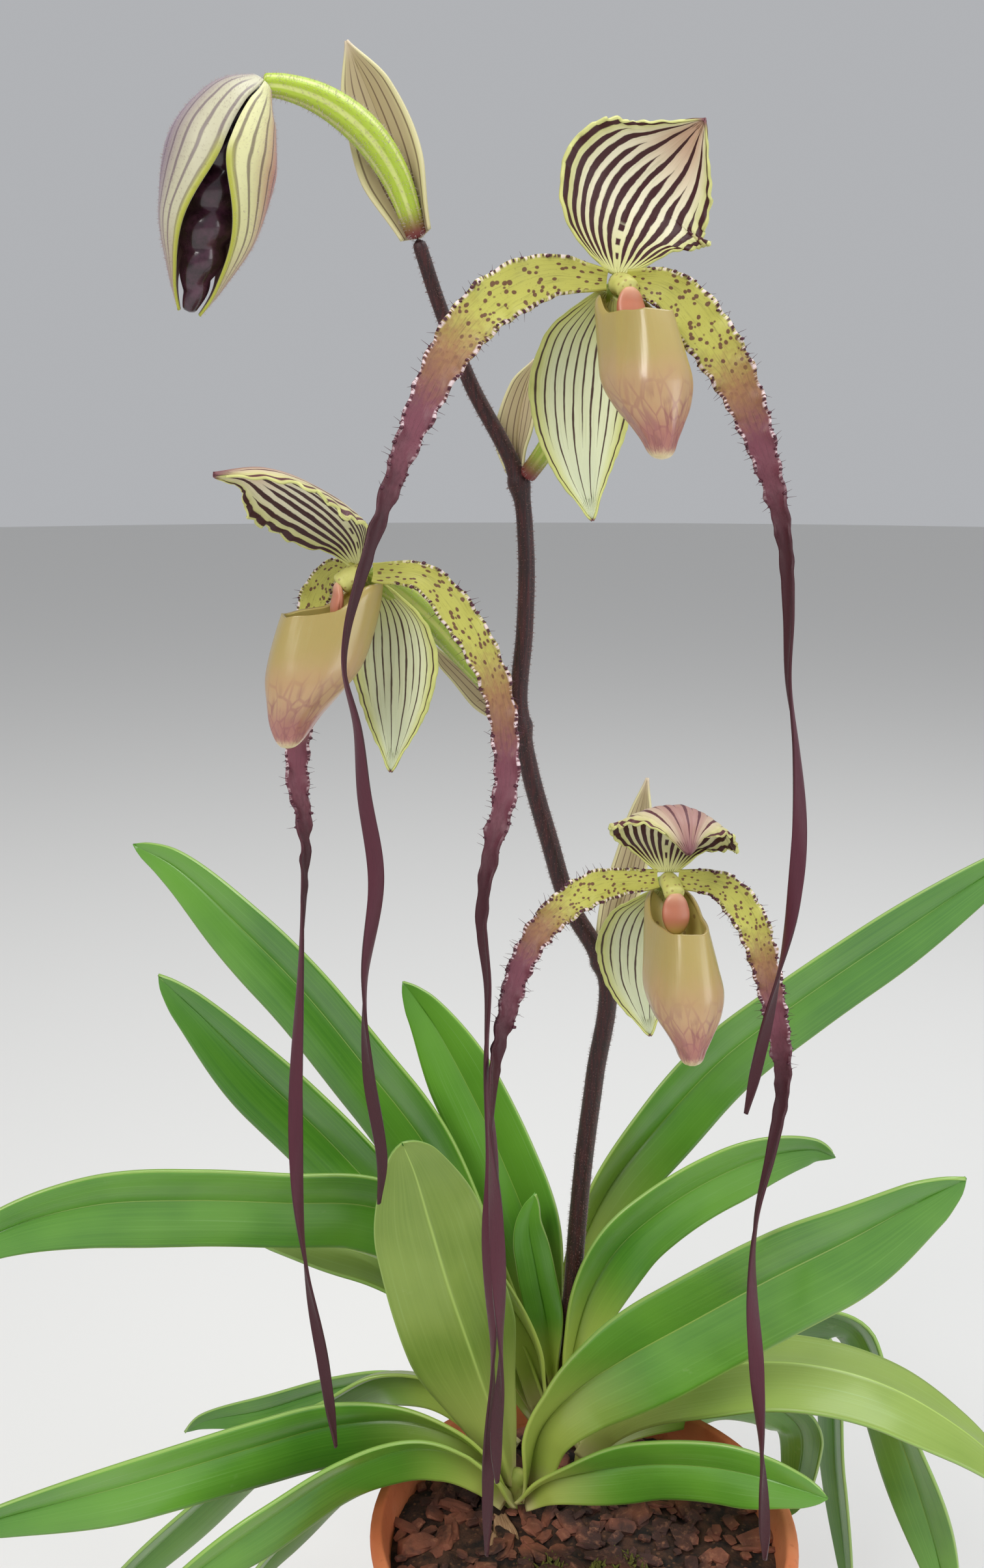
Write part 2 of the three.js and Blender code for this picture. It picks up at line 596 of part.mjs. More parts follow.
// Sepals: broad, cupped, waved along the margin, pointed
function sepal({ route, width, cup = 5, turn = 0 }) {
  const outline = profile([0, 7], [0.2, 0.66 * width], [0.48, width], [0.78, 0.66 * width], [1, 2]);
  return (grow) => blade({
    route: route.map(seen), stations: 8, columns: 6, width: outline, carried: true,
    roll: degrees([0, turn], [1, turn]), cup: profile([0, 2], [0.45, cup], [1, 1]),
    wave: (t, q) => (Math.abs(q) > 0.9 ? 1.1 * Math.sin(15 * t + 1.4 * q) * Math.sin(Math.PI * t) : 0), grow,
  });
}

// Petals: spreading, then hanging as a ribbon that twists, with a waved and warty margin at first
const PETAL_WIDTH = profile([0, 6.5], [0.05, 11], [0.12, 15.5], [0.24, 11], [0.4, 7.2], [0.7, 5.4], [0.95, 4], [1, 1.6]);

function petal({ route, turn }) {
  return (grow) => blade({
    route: route.map(seen), stations: 28, columns: 2, width: PETAL_WIDTH, crowd: 1.6,
    roll: degrees([0, turn[0]], [0.15, turn[1]], [0.35, turn[2]], [0.6, turn[3]], [1, turn[4]]),
    cup: profile([0, 1], [0.4, 1.2], [1, 0.2]),
    wave: (t, q) => (t < 0.4 ? 1.2 * q * q * Math.sin(135 * t + q) * Math.sin(Math.PI * t / 0.4) : 0), grow,
  });
}

// Bracts: a boat that holds the ovary's stalk at its node
function bract({ route, width, turn }) {
  const outline = profile([0, 0.62 * width], [0.35, width], [0.75, 0.7 * width], [1, 1.6]);
  return (grow) => blade({
    route: route.map(seen), stations: 8, columns: 4, width: outline, roll: degrees([0, turn], [1, turn]),
    fold: degrees([0, 52], [0.5, 34], [1, 20]), grow,
  });
}

// The bud: the two outer sepals closed round the coiled petals, which show in the slot between them

const BUD_OVARY = [[641, 352, 12], [608, 272, 9], [562, 204, 5], [500, 156, 1], [440, 134, -3], [402, 130, -5]];
const BUD_BRACT = { route: [[646, 366, 17], [612, 268, 19], [574, 160, 18], [532, 62, 14]], width: 27, turn: 10 };
const BUD_ROUTE = [[400, 131, -6], [372, 168, -9], [345, 229, -12], [323, 328, -14], [302, 428, -13], [291, 480, -11]];
const BUD_RADIUS = profile([0, 3.4], [0.16, 11], [0.38, 15.2], [0.62, 13.6], [0.86, 7.6], [1, 3]);
const BUD_SLOT = profile([0, 0.03], [0.36, 0.04], [0.62, 0.5], [0.85, 0.85], [1, 1.25]);
const BUD_SEAM = profile([0, 0.06], [0.6, 0.08], [1, 1.25]);

function budSepal(side) {
  return (grow) => {
    const frames = framesAlong({ route: BUD_ROUTE.map(seen), stations: 9 });
    const columns = 6;
    const grid = frames.map(({ t, point, face, side: across, along }, i) => {
      const centre = point.clone();
      if (i === 0) centre.addScaledVector(along, -grow);
      if (i === frames.length - 1) centre.addScaledVector(along, grow);
      const radius = BUD_RADIUS(t);
      const spare = grow / radius;
      const [from, to] = [BUD_SLOT(t) - spare, Math.PI - BUD_SEAM(t) + spare];
      const row = [];
      for (let j = 0; j <= columns; j += 1) {
        const turn = from + ((to - from) * j) / columns;
        row.push(centre.clone().addScaledVector(face, radius * Math.cos(turn))
          .addScaledVector(across, side * radius * Math.sin(turn)));
      }
      return row;
    });
    return sheet(grid, TISSUE_THICKNESS, grow);
  };
}

function budPetals(grow) {
  const coils = (t) => 1 + 0.1 * Math.sin(26 * t);
  return rod({
    route: BUD_ROUTE.map(seen), stations: 12, sides: 7, radius: (t) => 0.56 * BUD_RADIUS(t) * coils(t), grow,
  });
}

// The potting mix: a mound of dark bits with bark chips sunk into its top

function mixTopAt(radius) {
  return MIX_TOP - 2 + 5 * Math.cos(Math.min(1, radius / 70) * (Math.PI / 2));
}

function potCavity(grow) {
  return latheSolid([
    [0, FLOOR_THICKNESS - grow],
    [innerRadiusAt(FLOOR_THICKNESS) + grow, FLOOR_THICKNESS - grow],
    [innerRadiusAt(POT_HEIGHT) + grow, POT_HEIGHT],
    [0, POT_HEIGHT],
  ], POT_FACETS);
}

function barkChips() {
  const random = seededRandom(7);
  const between = (low, high) => low + (high - low) * random();
  const chips = [];
  for (let k = 0; k < CHIP_COUNT; k += 1) {
    const radius = 63 * Math.sqrt((k + 0.5) / CHIP_COUNT);
    const angle = k * 2.39996 + between(-0.3, 0.3);
    const chip = new THREE.BoxGeometry(between(9, 17), between(7, 12), between(4, 7));
    const corners = chip.attributes.position;
    const nudges = [1, 2, 3, 4, 5, 6, 7, 8].map(() => between(0.72, 1.1));
    for (let i = 0; i < corners.count; i += 1) {
      const corner = (corners.getX(i) > 0 ? 4 : 0) + (corners.getY(i) > 0 ? 2 : 0) + (corners.getZ(i) > 0 ? 1 : 0);
      corners.setXYZ(i, corners.getX(i) * nudges[corner], corners.getY(i) * nudges[(corner + 3) % 8], corners.getZ(i));
    }
    chip.rotateX(between(-0.45, 0.45)).rotateY(between(-0.45, 0.45)).rotateZ(between(0, Math.PI));
    chip.translate(radius * Math.cos(angle), radius * Math.sin(angle), mixTopAt(radius) + between(-1, 1.2));
    chips.push(solidFrom(chip));
  }
  return chips;
}

function pottingMix(grow) {
  const outline = [[0, FLOOR_THICKNESS], [68, FLOOR_THICKNESS], [68, mixTopAt(68)]];
  [50, 30].forEach((radius) => outline.push([radius, mixTopAt(radius)]));
  outline.push([0, mixTopAt(0)]);
  const mound = latheSolid(outline, POT_FACETS);
  return barkChips().reduce((all, chip) => all.add(chip), mound).intersect(potCavity(grow - CLEARANCE));
}

// Putting it together, each piece after what carries it

const LEAF_GREEN = 0x3f8f2a;
const SEPAL_CREAM = 0xd9d6a4;
const PETAL_MAROON = 0x7a3050;
const POUCH_OLIVE = 0xa98a4a;

place('pot', 0xc0643a, 0.85, pot);
place('rootstock', 0x8a9a50, 0.7, rootstock, 2 * CLEARANCE);
place('flower_stem', 0x3a1c1c, 0.6, flowerStem);
for (const [name, flower] of Object.entries(FLOWERS)) {
  place(`${name}_ovary`, 0x9cbf3f, 0.6, ovary(flower));
  place(`${name}_column`, 0xd08a6a, 0.5, column(flower));
  place(`${name}_pouch`, POUCH_OLIVE, 0.35, pouch(flower));
  place(`${name}_dorsal_sepal`, SEPAL_CREAM, 0.6, sepal(flower.dorsal));
  place(`${name}_synsepal`, SEPAL_CREAM, 0.6, sepal(flower.synsepal));
  place(`${name}_left_petal`, PETAL_MAROON, 0.6, petal(flower.leftPetal));
  place(`${name}_right_petal`, PETAL_MAROON, 0.6, petal(flower.rightPetal));
  place(`${name}_bract`, 0xb59a78, 0.7, bract(flower.bract));
}
place('bud_ovary', 0xa4c83a, 0.6, (grow) => rod({
  route: BUD_OVARY.map(seen), stations: 8, sides: 10, radius: profile([0, 2.8], [0.5, 4.6], [1, 2.8]), rib: 0.07, grow,
}));
place('bud_petals', 0x5a2436, 0.3, budPetals);
place('bud_left_sepal', 0x8f7f86, 0.6, budSepal(-1));
place('bud_right_sepal', 0xb9b48a, 0.6, budSepal(1));
place('bud_bract', 0xb59a78, 0.7, bract(BUD_BRACT));
for (const [name, shape] of Object.entries(LEAVES)) place(name, LEAF_GREEN, 0.35, leaf(shape));
place('dry_bract', 0xb08f6a, 0.9, (grow) => blade({
  route: [[768, 2328, 12], [776, 2360, 4], [772, 2390, -4], [786, 2425, -10]].map(seen), stations: 6, columns: 3,
  width: profile([0, 4], [0.5, 10], [1, 3]), cup: profile([0, 1], [1, 2]), grow,
}));
place('potting_mix', 0x4a2f24, 0.95, pottingMix);

export default plant;
export { placed };
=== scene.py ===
"""A potted slipper orchid: clay pot, bark mix, strap leaves, one dark stem with three flowers and a bud."""

import math
import random
from bisect import bisect_right

import bmesh
import bpy
from mathutils import Matrix, Vector, noise


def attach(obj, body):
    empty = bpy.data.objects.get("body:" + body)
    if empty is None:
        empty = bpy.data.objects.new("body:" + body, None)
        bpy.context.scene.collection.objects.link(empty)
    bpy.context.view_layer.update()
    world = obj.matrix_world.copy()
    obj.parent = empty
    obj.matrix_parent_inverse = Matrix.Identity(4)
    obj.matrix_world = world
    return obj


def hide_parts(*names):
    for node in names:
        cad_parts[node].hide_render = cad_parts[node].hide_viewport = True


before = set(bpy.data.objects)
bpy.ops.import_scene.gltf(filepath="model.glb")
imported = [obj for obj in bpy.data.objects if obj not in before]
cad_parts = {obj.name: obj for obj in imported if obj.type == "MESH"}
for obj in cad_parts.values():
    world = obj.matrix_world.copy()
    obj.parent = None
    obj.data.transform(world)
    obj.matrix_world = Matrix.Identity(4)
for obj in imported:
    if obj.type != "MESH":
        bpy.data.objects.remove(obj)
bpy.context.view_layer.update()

# The clay pot
# Thrown red earthenware with a collar under its rim, fired bare, so it is matt and chalky. The
# outline is turned about the pot's axis, and four drainage holes are cut through its floor.

MM = 0.001
POT_HEIGHT = 140
RIM_RADIUS = 75
BASE_RADIUS = 50
POT_WALL = 5
COLLAR_FOOT = POT_HEIGHT - 24
COLLAR_STEP = 3.5
FLOOR_THICKNESS = 10
DRAIN_RING = 26
DRAIN_RADIUS = 5


class Wire:
    """One socket of a finish. A sum on it adds its Math node."""

    def __init__(self, finish, socket):
        self.finish = finish
        self.socket = socket

    def sum(self, operation, *values):
        return self.finish.node("ShaderNodeMath", dict(enumerate(values)), operation=operation)

    def __add__(self, other):
        return self.sum("ADD", self, other)

    def __radd__(self, other):
        return self.sum("ADD", other, self)

    def __sub__(self, other):
        return self.sum("SUBTRACT", self, other)

    def __rsub__(self, other):
        return self.sum("SUBTRACT", other, self)

    def __mul__(self, other):
        return self.sum("MULTIPLY", self, other)

    def __rmul__(self, other):
        return self.sum("MULTIPLY", other, self)

    def __gt__(self, other):
        return self.sum("GREATER_THAN", self, other)

    def __abs__(self):
        return self.sum("ABSOLUTE", self)


class Finish:
    """A material on one surface shader, and the one way its nodes are made."""

    def __init__(self, name, **fixed):
        self.material = bpy.data.materials.new(name)
        self.material.use_nodes = True
        self.tree = self.material.node_tree
        self.surface = self.tree.nodes["Principled BSDF"]
        self.feed(self.surface, {key.replace("_", " "): value for key, value in fixed.items()})

    def feed(self, node, sockets):
        for key, value in sockets.items():
            if isinstance(value, Wire):
                self.tree.links.new(value.socket, node.inputs[key])
            else:
                node.inputs[key].default_value = value

    def node(self, kind, sockets, out=0, **settings):
        made = self.tree.nodes.new(kind)
        for key, value in settings.items():
            setattr(made, key, value)
        self.feed(made, sockets)
        return Wire(self, made.outputs[out])

    def coordinates(self):
        return self.node("ShaderNodeTexCoord", {}, out=3)

    def surface_place(self):
        """Where a point lies across and along its own piece, both from 0 to 1."""
        place = self.node("ShaderNodeUVMap", {}, uv_map="surface")
        return [self.node("ShaderNodeSeparateXYZ", {0: place}, out=axis) for axis in (0, 1)]

    def cloud(self, scale, detail=3.0, spread=0.55, where=None):
        vector = where or self.coordinates()
        return self.node(
            "ShaderNodeTexNoise", {"Vector": vector, "Scale": scale, "Detail": detail, "Roughness": spread}
        )

    def cells(self, scale, where=None, feature="F1"):
        vector = where or self.coordinates()
        return self.node("ShaderNodeTexVoronoi", {"Vector": vector, "Scale": scale}, feature=feature)

    def plane(self, first, second, third=0.0):
        return self.node("ShaderNodeCombineXYZ", {0: first, 1: second, 2: third})

    def rise(self, value, low, high):
        """0 below low and 1 above high, with a smooth step between. It falls where low is above high."""
        return self.node(
            "ShaderNodeMapRange", {0: value, 1: low, 2: high, 3: 0.0, 4: 1.0}, interpolation_type="SMOOTHSTEP"
        )

    def blend(self, mask, first, second):
        return self.node("ShaderNodeMix", {0: mask, 6: first, 7: second}, out=2, data_type="RGBA")

    def paint(self, colour, roughness=None, height=None, bump=0.3, reach=0.4 * MM):
        self.feed(self.surface, {"Base Color": colour})
        if roughness is not None:
            self.feed(self.surface, {"Roughness": roughness})
        if height is not None:
            relief = self.node("ShaderNodeBump", {"Strength": bump, "Distance": reach, "Height": height})
            self.feed(self.surface, {"Normal": relief})
        return self.material


def tint(red, green, blue):
    """A colour from its usual 0 to 255 values."""
    def linear(value):
        share = value / 255
        return share / 12.92 if share <= 0.04045 else ((share + 0.055) / 1.055) ** 2.4
    return (linear(red), linear(green), linear(blue), 1.0)


def piece(name, mesh, materials, replaces=(), smooth=True):
    """The finished mesh as an object that rides on the part."""
    data = bpy.data.meshes.new(name)
    mesh.to_mesh(data)
    mesh.free()
    for polygon in data.polygons:
        polygon.use_smooth = smooth
    for material in materials:
        data.materials.append(material)
    made = bpy.data.objects.new(name, data)
    bpy.context.scene.collection.objects.link(made)
    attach(made, "root")
    if replaces:
        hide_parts(*replaces)
    return made


def terracotta():
    clay = Finish("terracotta", Roughness=0.86)
    fine = clay.cloud(420.0, 4.0)
    broad = clay.cloud(18.0, 4.0)
    colour = clay.blend(clay.rise(broad, 0.35, 0.7), tint(196, 104, 62), tint(214, 132, 88))
    colour = clay.blend(clay.rise(clay.cloud(40.0, 5.0), 0.55, 0.8) * 0.35, colour, tint(226, 182, 150))
    colour = clay.blend(clay.rise(fine, 0.58, 0.72) * 0.3, colour, tint(150, 74, 44))
    _, up = clay.surface_place()
    rings = clay.node("ShaderNodeTexWave", {"Vector": clay.plane(0.0, up), "Scale": 24.0, "Distortion": 1.2})
    return clay.paint(colour, 0.78 + 0.14 * fine, 0.6 * fine + 0.4 * rings, 0.35, 0.3 * MM)


def turned_pot():
    inner = RIM_RADIUS - POT_WALL
    floor_inner = BASE_RADIUS - POT_WALL
    outline = [
        (0, 0), (BASE_RADIUS, 0), (RIM_RADIUS - COLLAR_STEP - 4, COLLAR_FOOT),
        (RIM_RADIUS - 3, COLLAR_FOOT + 1.5), (RIM_RADIUS, POT_HEIGHT - 3),
        (RIM_RADIUS - 0.8, POT_HEIGHT - 0.5), (inner + 0.8, POT_HEIGHT),
        (inner, POT_HEIGHT - 2.5), (floor_inner, FLOOR_THICKNESS), (0, FLOOR_THICKNESS),
    ]
    mesh = bmesh.new()
    corners = [mesh.verts.new((radius * MM, 0, up * MM)) for radius, up in outline]
    for lower, upper in zip(corners, corners[1:]):
        mesh.edges.new((lower, upper))
    bmesh.ops.bevel(
        mesh, geom=corners[1:-1], offset=0.9 * MM, offset_type="OFFSET", affect="VERTICES", segments=3,
        profile=0.5, material=-1,
    )
    bmesh.ops.spin(
        mesh, geom=mesh.verts[:] + mesh.edges[:], axis=(0, 0, 1), cent=(0, 0, 0), angle=2 * math.pi, steps=96,
        use_merge=True,
    )
    bmesh.ops.remove_doubles(mesh, verts=mesh.verts, dist=0.01 * MM)
    bmesh.ops.recalc_face_normals(mesh, faces=mesh.faces)
    layer = mesh.loops.layers.uv.new("surface")
    for face in mesh.faces:
        for loop in face.loops:
            place = loop.vert.co
            loop[layer].uv = (math.atan2(place.y, place.x) / (2 * math.pi) + 0.5, place.z / (POT_HEIGHT * MM))
    return mesh


def cut_through(body, tool):
    """The body with the tool's shape cut out of it for good."""
    hollow = body.modifiers.new("holes", "BOOLEAN")
    hollow.operation = "DIFFERENCE"
    hollow.object = tool
    bpy.context.view_layer.update()
    depsgraph = bpy.context.evaluated_depsgraph_get()
    cut = bpy.data.meshes.new_from_object(body.evaluated_get(depsgraph))
    body.modifiers.clear()
    body.data = cut
    bpy.data.objects.remove(tool)


clay_pot = piece("clay_pot", turned_pot(), [terracotta()], ["pot"])
drills = bmesh.new()
for quarter in range(4):
    angle = (quarter + 0.5) * math.pi / 2
    where = Matrix.Translation((DRAIN_RING * MM * math.cos(angle), DRAIN_RING * MM * math.sin(angle), 0))
    bmesh.ops.create_cone(
        drills, cap_ends=True, segments=24, radius1=DRAIN_RADIUS * MM, radius2=DRAIN_RADIUS * MM,
        depth=3 * FLOOR_THICKNESS * MM, matrix=where,
    )
drill_mesh = bpy.data.meshes.new("drills")
drills.to_mesh(drill_mesh)
drills.free()
drill = bpy.data.objects.new("drills", drill_mesh)
bpy.context.scene.collection.objects.link(drill)
cut_through(clay_pot, drill)

# The potting mix
# Chopped fir bark in dark crumbs, mounded a little round the plant, with green moss in front
# of it. The mound is one rough skin, and the chips are sunk into it.

MIX_TOP = POT_HEIGHT - 11
MOUND_RADIUS = RIM_RADIUS - POT_WALL - 0.8
MOSS_PLACES = [(-14, -20, 12), (-2, -34, 13), (8, -50, 11), (12, -16, 10)]
MOSS_REACH = 65


def mix_height(radius):
    return MIX_TOP - 2 + 5 * math.cos(min(1, radius / 70) * math.pi / 2)


def cavity_radius(height):
    """How far the mix reaches below its top, just inside the pot's sloping wall."""
    share = (height - FLOOR_THICKNESS) / (POT_HEIGHT - FLOOR_THICKNESS)
    return BASE_RADIUS - POT_WALL + (RIM_RADIUS - BASE_RADIUS) * share - 0.4


def bark_mix():
    mix = Finish("bark_mix", Roughness=0.93)
    tone = mix.cloud(160.0, 6.0, 0.65)
    colour = mix.blend(mix.rise(tone, 0.35, 0.68), tint(24, 17, 13), tint(84, 54, 38))
    colour = mix.blend(mix.rise(mix.cells(420.0), 0.32, 0.12) * 0.6, colour, tint(122, 84, 58))
    return mix.paint(colour, 0.94, mix.cloud(520.0, 6.0, 0.7), 0.9, 1.2 * MM)


def bark_chip():
    chip = Finish("bark_chip", Roughness=0.8)
    shade = chip.cloud(55.0, 2.0)
    grain = chip.cloud(300.0, 5.0, 0.7)
    colour = chip.blend(chip.rise(shade, 0.38, 0.66), tint(58, 32, 26), tint(128, 74, 54))
    colour = chip.blend(chip.rise(grain, 0.5, 0.75) * 0.6, colour, tint(164, 112, 84))
    colour = chip.blend(chip.rise(chip.cloud(95.0, 3.0), 0.56, 0.7) * 0.75, colour, tint(36, 22, 20))
    return chip.paint(colour, 0.66 + 0.3 * grain, grain, 0.7, 0.8 * MM)


def moss_finish():
    moss = Finish("moss", Roughness=0.95)
    tone = moss.cloud(260.0, 4.0)
    colour = moss.blend(tone, tint(44, 48, 18), tint(126, 124, 46))
    return moss.paint(colour, 0.95, moss.cloud(1400.0), 0.8, 0.5 * MM)


mound = bmesh.new()
bmesh.ops.create_grid(mound, x_segments=110, y_segments=110, size=MOUND_RADIUS * MM)
for vert in mound.verts:
    x, y = vert.co.x, vert.co.y
    reach = max(abs(x), abs(y))
    round_off = reach / math.hypot(x, y) if reach > 0 else 1.0
    x, y = x * round_off, y * round_off
    lumps = noise.fractal(Vector((x, y, 0.3)) * 90, 0.9, 2.1, 5)
    vert.co = (x, y, mix_height(math.hypot(x, y) / MM) * MM + 1.6 * MM * lumps - 0.6 * MM)
rim_edges = [edge for edge in mound.edges if edge.is_boundary]
for height in (MIX_TOP - 6, MIX_TOP - 30, 0.3 * POT_HEIGHT):
    grown = bmesh.ops.extrude_edge_only(mound, edges=rim_edges)["geom"]
    for vert in [element for element in grown if isinstance(element, bmesh.types.BMVert)]:
        flat = Vector((vert.co.x, vert.co.y, 0)).normalized() * cavity_radius(height) * MM
        vert.co = (flat.x, flat.y, height * MM)
    sides = [element for element in grown if isinstance(element, bmesh.types.BMEdge)]
    rim_edges = [edge for edge in sides if edge.is_boundary]
base = bmesh.ops.extrude_edge_only(mound, edges=rim_edges)["geom"]
for vert in [element for element in base if isinstance(element, bmesh.types.BMVert)]:
    vert.co = (0, 0, (FLOOR_THICKNESS + 0.4) * MM)
bmesh.ops.remove_doubles(mound, verts=mound.verts, dist=0.01 * MM)
bmesh.ops.recalc_face_normals(mound, faces=mound.faces)
piece("mix_mound", mound, [bark_mix()], ["potting_mix"])

chance = random.Random(11)
CHIP_COUNT = 430
CHIP_SPREAD = 66
GOLDEN_ANGLE = 2.39996


def scattered(count, add, batch=60):
    """Many small shapes as one mesh, added a batch at a time because an operator slows as its mesh grows."""
    whole = bmesh.new()
    for first in range(0, count, batch):
        few = bmesh.new()
        for number in range(first, min(count, first + batch)):
            add(few, number)
        held = bpy.data.meshes.new("held")
        few.to_mesh(held)
        few.free()
        whole.from_mesh(held, face_normals=False)
        bpy.data.meshes.remove(held)
    return whole


def bark_flake(mesh, number):
    radius = CHIP_SPREAD * math.sqrt((number + 0.5) / CHIP_COUNT)
    angle = number * GOLDEN_ANGLE + chance.uniform(-0.4, 0.4)
    size = [chance.uniform(4, 15), chance.uniform(3.5, 9), chance.uniform(1.2, 3.6)]
    if number % 3:
        size = [side * 0.55 for side in size]
    turned = Matrix.Rotation(chance.uniform(0, math.pi), 4, "Z")
    turned = turned @ Matrix.Rotation(chance.uniform(-0.5, 0.5), 4, "X")
    height = mix_height(radius) + chance.uniform(0, 1.6)
    middle = Vector((radius * math.cos(angle), radius * math.sin(angle), height))
    bmesh.ops.create_cube(mesh, size=1.0)
    bmesh.ops.subdivide_edges(mesh, edges=mesh.edges[:], cuts=1, use_grid_fill=True)
    for vert in mesh.verts:
        outward = 1.0 - 0.16 * (vert.co.length > 0.8) - 0.1 * (vert.co.length > 0.6)
        vert.co = vert.co * outward + Vector([chance.uniform(-0.09, 0.09) for _ in range(3)])
    shape = Matrix.Translation(middle * MM) @ turned @ Matrix.Diagonal([side * MM for side in size] + [1.0])
    bmesh.ops.transform(mesh, matrix=shape, verts=mesh.verts[:])


piece("bark_chips", scattered(CHIP_COUNT, bark_flake, 1), [bark_chip()], smooth=False)


def moss_tuft(mesh, number):
    x, y, spread = MOSS_PLACES[number % len(MOSS_PLACES)]
    angle, out = chance.uniform(0, 2 * math.pi), spread * math.sqrt(chance.random())
    place = Vector((x + out * math.cos(angle), y + out * math.sin(angle), 0))
    if place.length > MOSS_REACH:
        return
    place.z = mix_height(place.length) + chance.uniform(-0.6, 1.4)
    lean = Matrix.Rotation(chance.uniform(-0.7, 0.7), 4, "X")
    lean = lean @ Matrix.Rotation(chance.uniform(-0.7, 0.7), 4, "Y")
    bmesh.ops.create_cone(
        mesh, cap_ends=False, segments=4, radius1=chance.uniform(0.5, 1.1) * MM, radius2=0.1 * MM,
        depth=chance.uniform(1.2, 3.2) * MM, matrix=Matrix.Translation(place * MM) @ lean,
    )


piece("moss", scattered(900, moss_tuft), [moss_finish()])

# The rootstock
# A short creeping rhizome under the mix, with three upright growths that the leaves clasp. It is
# one living piece, yellow green where it shows between the leaf bases.

EYE = Vector((-32, -456, POT_HEIGHT + 371))
LOOK_DOWN = math.radians(13)
LENS = 2300
PICTURE_MIDDLE = (756, 1204.5)
GROWTHS = {"front": (-23, 20), "middle": (-11, 51), "back": (4, 40)}


def seen(spots):
    """Points of the plant, each from its place in the picture and its depth along +Y, in millimetres."""
    found = []
    for across, down, depth in spots:
        right, up = (across - PICTURE_MIDDLE[0]) / LENS, (PICTURE_MIDDLE[1] - down) / LENS
        ray = Vector((
            right,
            math.cos(LOOK_DOWN) + up * math.sin(LOOK_DOWN),
            up * math.cos(LOOK_DOWN) - math.sin(LOOK_DOWN),
        ))
        found.append(EYE + ray * ((depth - EYE.y) / ray.y))
    return found


def profile(*stops):
    """A value that runs smoothly, and without overshoot, through pairs of place and amount."""
    steps = [(high - low) / (end - start) for (start, low), (end, high) in zip(stops, stops[1:])]
    slopes = [steps[0]]
    for before, after in zip(steps, steps[1:]):
        slopes.append(2 * before * after / (before + after) if before * after > 0 else 0.0)
    slopes.append(steps[-1])

    def value(t):
        k = 0
        while k < len(stops) - 2 and t > stops[k + 1][0]:
            k += 1
        (start, low), (end, high) = stops[k], stops[k + 1]
        wide = end - start
        s = min(1.0, max(0.0, (t - start) / wide))
        return (
            low * (1 + 2 * s) * (1 - s) ** 2 + high * s * s * (3 - 2 * s)
            + wide * (slopes[k] * s * (1 - s) ** 2 - slopes[k + 1] * s * s * (1 - s))
        )
    return value


def degrees(*stops):
    return profile(*[(t, math.radians(angle)) for t, angle in stops])


class Route:
    """A smooth curve through points, walked by its length from 0 to 1."""

    SAMPLES = 400

    def __init__(self, points):
        self.points = [Vector(point) for point in points]
        spans = len(points) - 1
        self.line = [self.spot(spans * k / self.SAMPLES) for k in range(self.SAMPLES + 1)]
        self.walked = [0.0]
        for before, after in zip(self.line, self.line[1:]):
            self.walked.append(self.walked[-1] + (after - before).length)

    def spot(self, t):
        points = self.points
        k = min(int(t), len(points) - 2)
        share = t - k
        here, there = points[k], points[k + 1]
        before = points[k - 1] if k > 0 else 2 * here - there
        after = points[k + 2] if k + 2 < len(points) else 2 * there - here
        spans = ((before, here), (here, there), (there, after))
        first, middle, last = [math.sqrt((b - a).length) or 1.0 for a, b in spans]
        leave = (
            (here - before) / first - (there - before) / (first + middle) + (there - here) / middle
        ) * middle
        reach = (
            (there - here) / middle - (after - here) / (middle + last) + (after - there) / last
        ) * middle
        square, cube = share * share, share ** 3
        return (
            here + leave * share + (3 * (there - here) - 2 * leave - reach) * square
            + (2 * (here - there) + leave + reach) * cube
        )

    def place(self, share):
        goal = min(1.0, max(0.0, share)) * self.walked[-1]
        k = min(max(bisect_right(self.walked, goal) - 1, 0), self.SAMPLES - 1)
        local = (goal - self.walked[k]) / (self.walked[k + 1] - self.walked[k])
        return self.line[k].lerp(self.line[k + 1], local)

    def way(self, share):
        return (self.place(share + 0.004) - self.place(share - 0.004)).normalized()


def frames_along(route, rows, roll=lambda t: 0.0, carried=False, ease=1.0):
    """The point, way along, face and side at each row.

    A facing frame looks at the eye, and a carried one bends along.
    """
    curve = Route(route)
    frames = []
    normal = None
    for row in range(rows + 1):
        t = (row / rows) ** ease
        point, along = curve.place(t), curve.way(t)
        if normal is None or not carried:
            normal = EYE - point
        normal = (normal - along * normal.dot(along)).normalized()
        face = Matrix.Rotation(-roll(t), 3, along) @ normal
        frames.append((t, point, along, face, along.cross(face).normalized()))
    return frames


def skin(columns, rows, place, closed=False, ease=1.0):
    """A grid of faces moved to place(row, t, across), in millimetres, with a map of the surface."""
    mesh = bmesh.new()
    bmesh.ops.create_grid(mesh, x_segments=columns, y_segments=rows, size=0.5)
    layer = mesh.loops.layers.uv.new("surface")
    for face in mesh.faces:
        for loop in face.loops:
            loop[layer].uv = (loop.vert.co.x + 0.5, (loop.vert.co.y + 0.5) ** ease)
    for vert in mesh.verts:
        across, up = vert.co.x + 0.5, min(1.0, max(0.0, vert.co.y + 0.5))
        vert.co = place(round(up * rows), up ** ease, across) * MM
    if closed:
        bmesh.ops.remove_doubles(mesh, verts=mesh.verts, dist=0.001 * MM)
        bmesh.ops.recalc_face_normals(mesh, faces=mesh.faces)
    return mesh


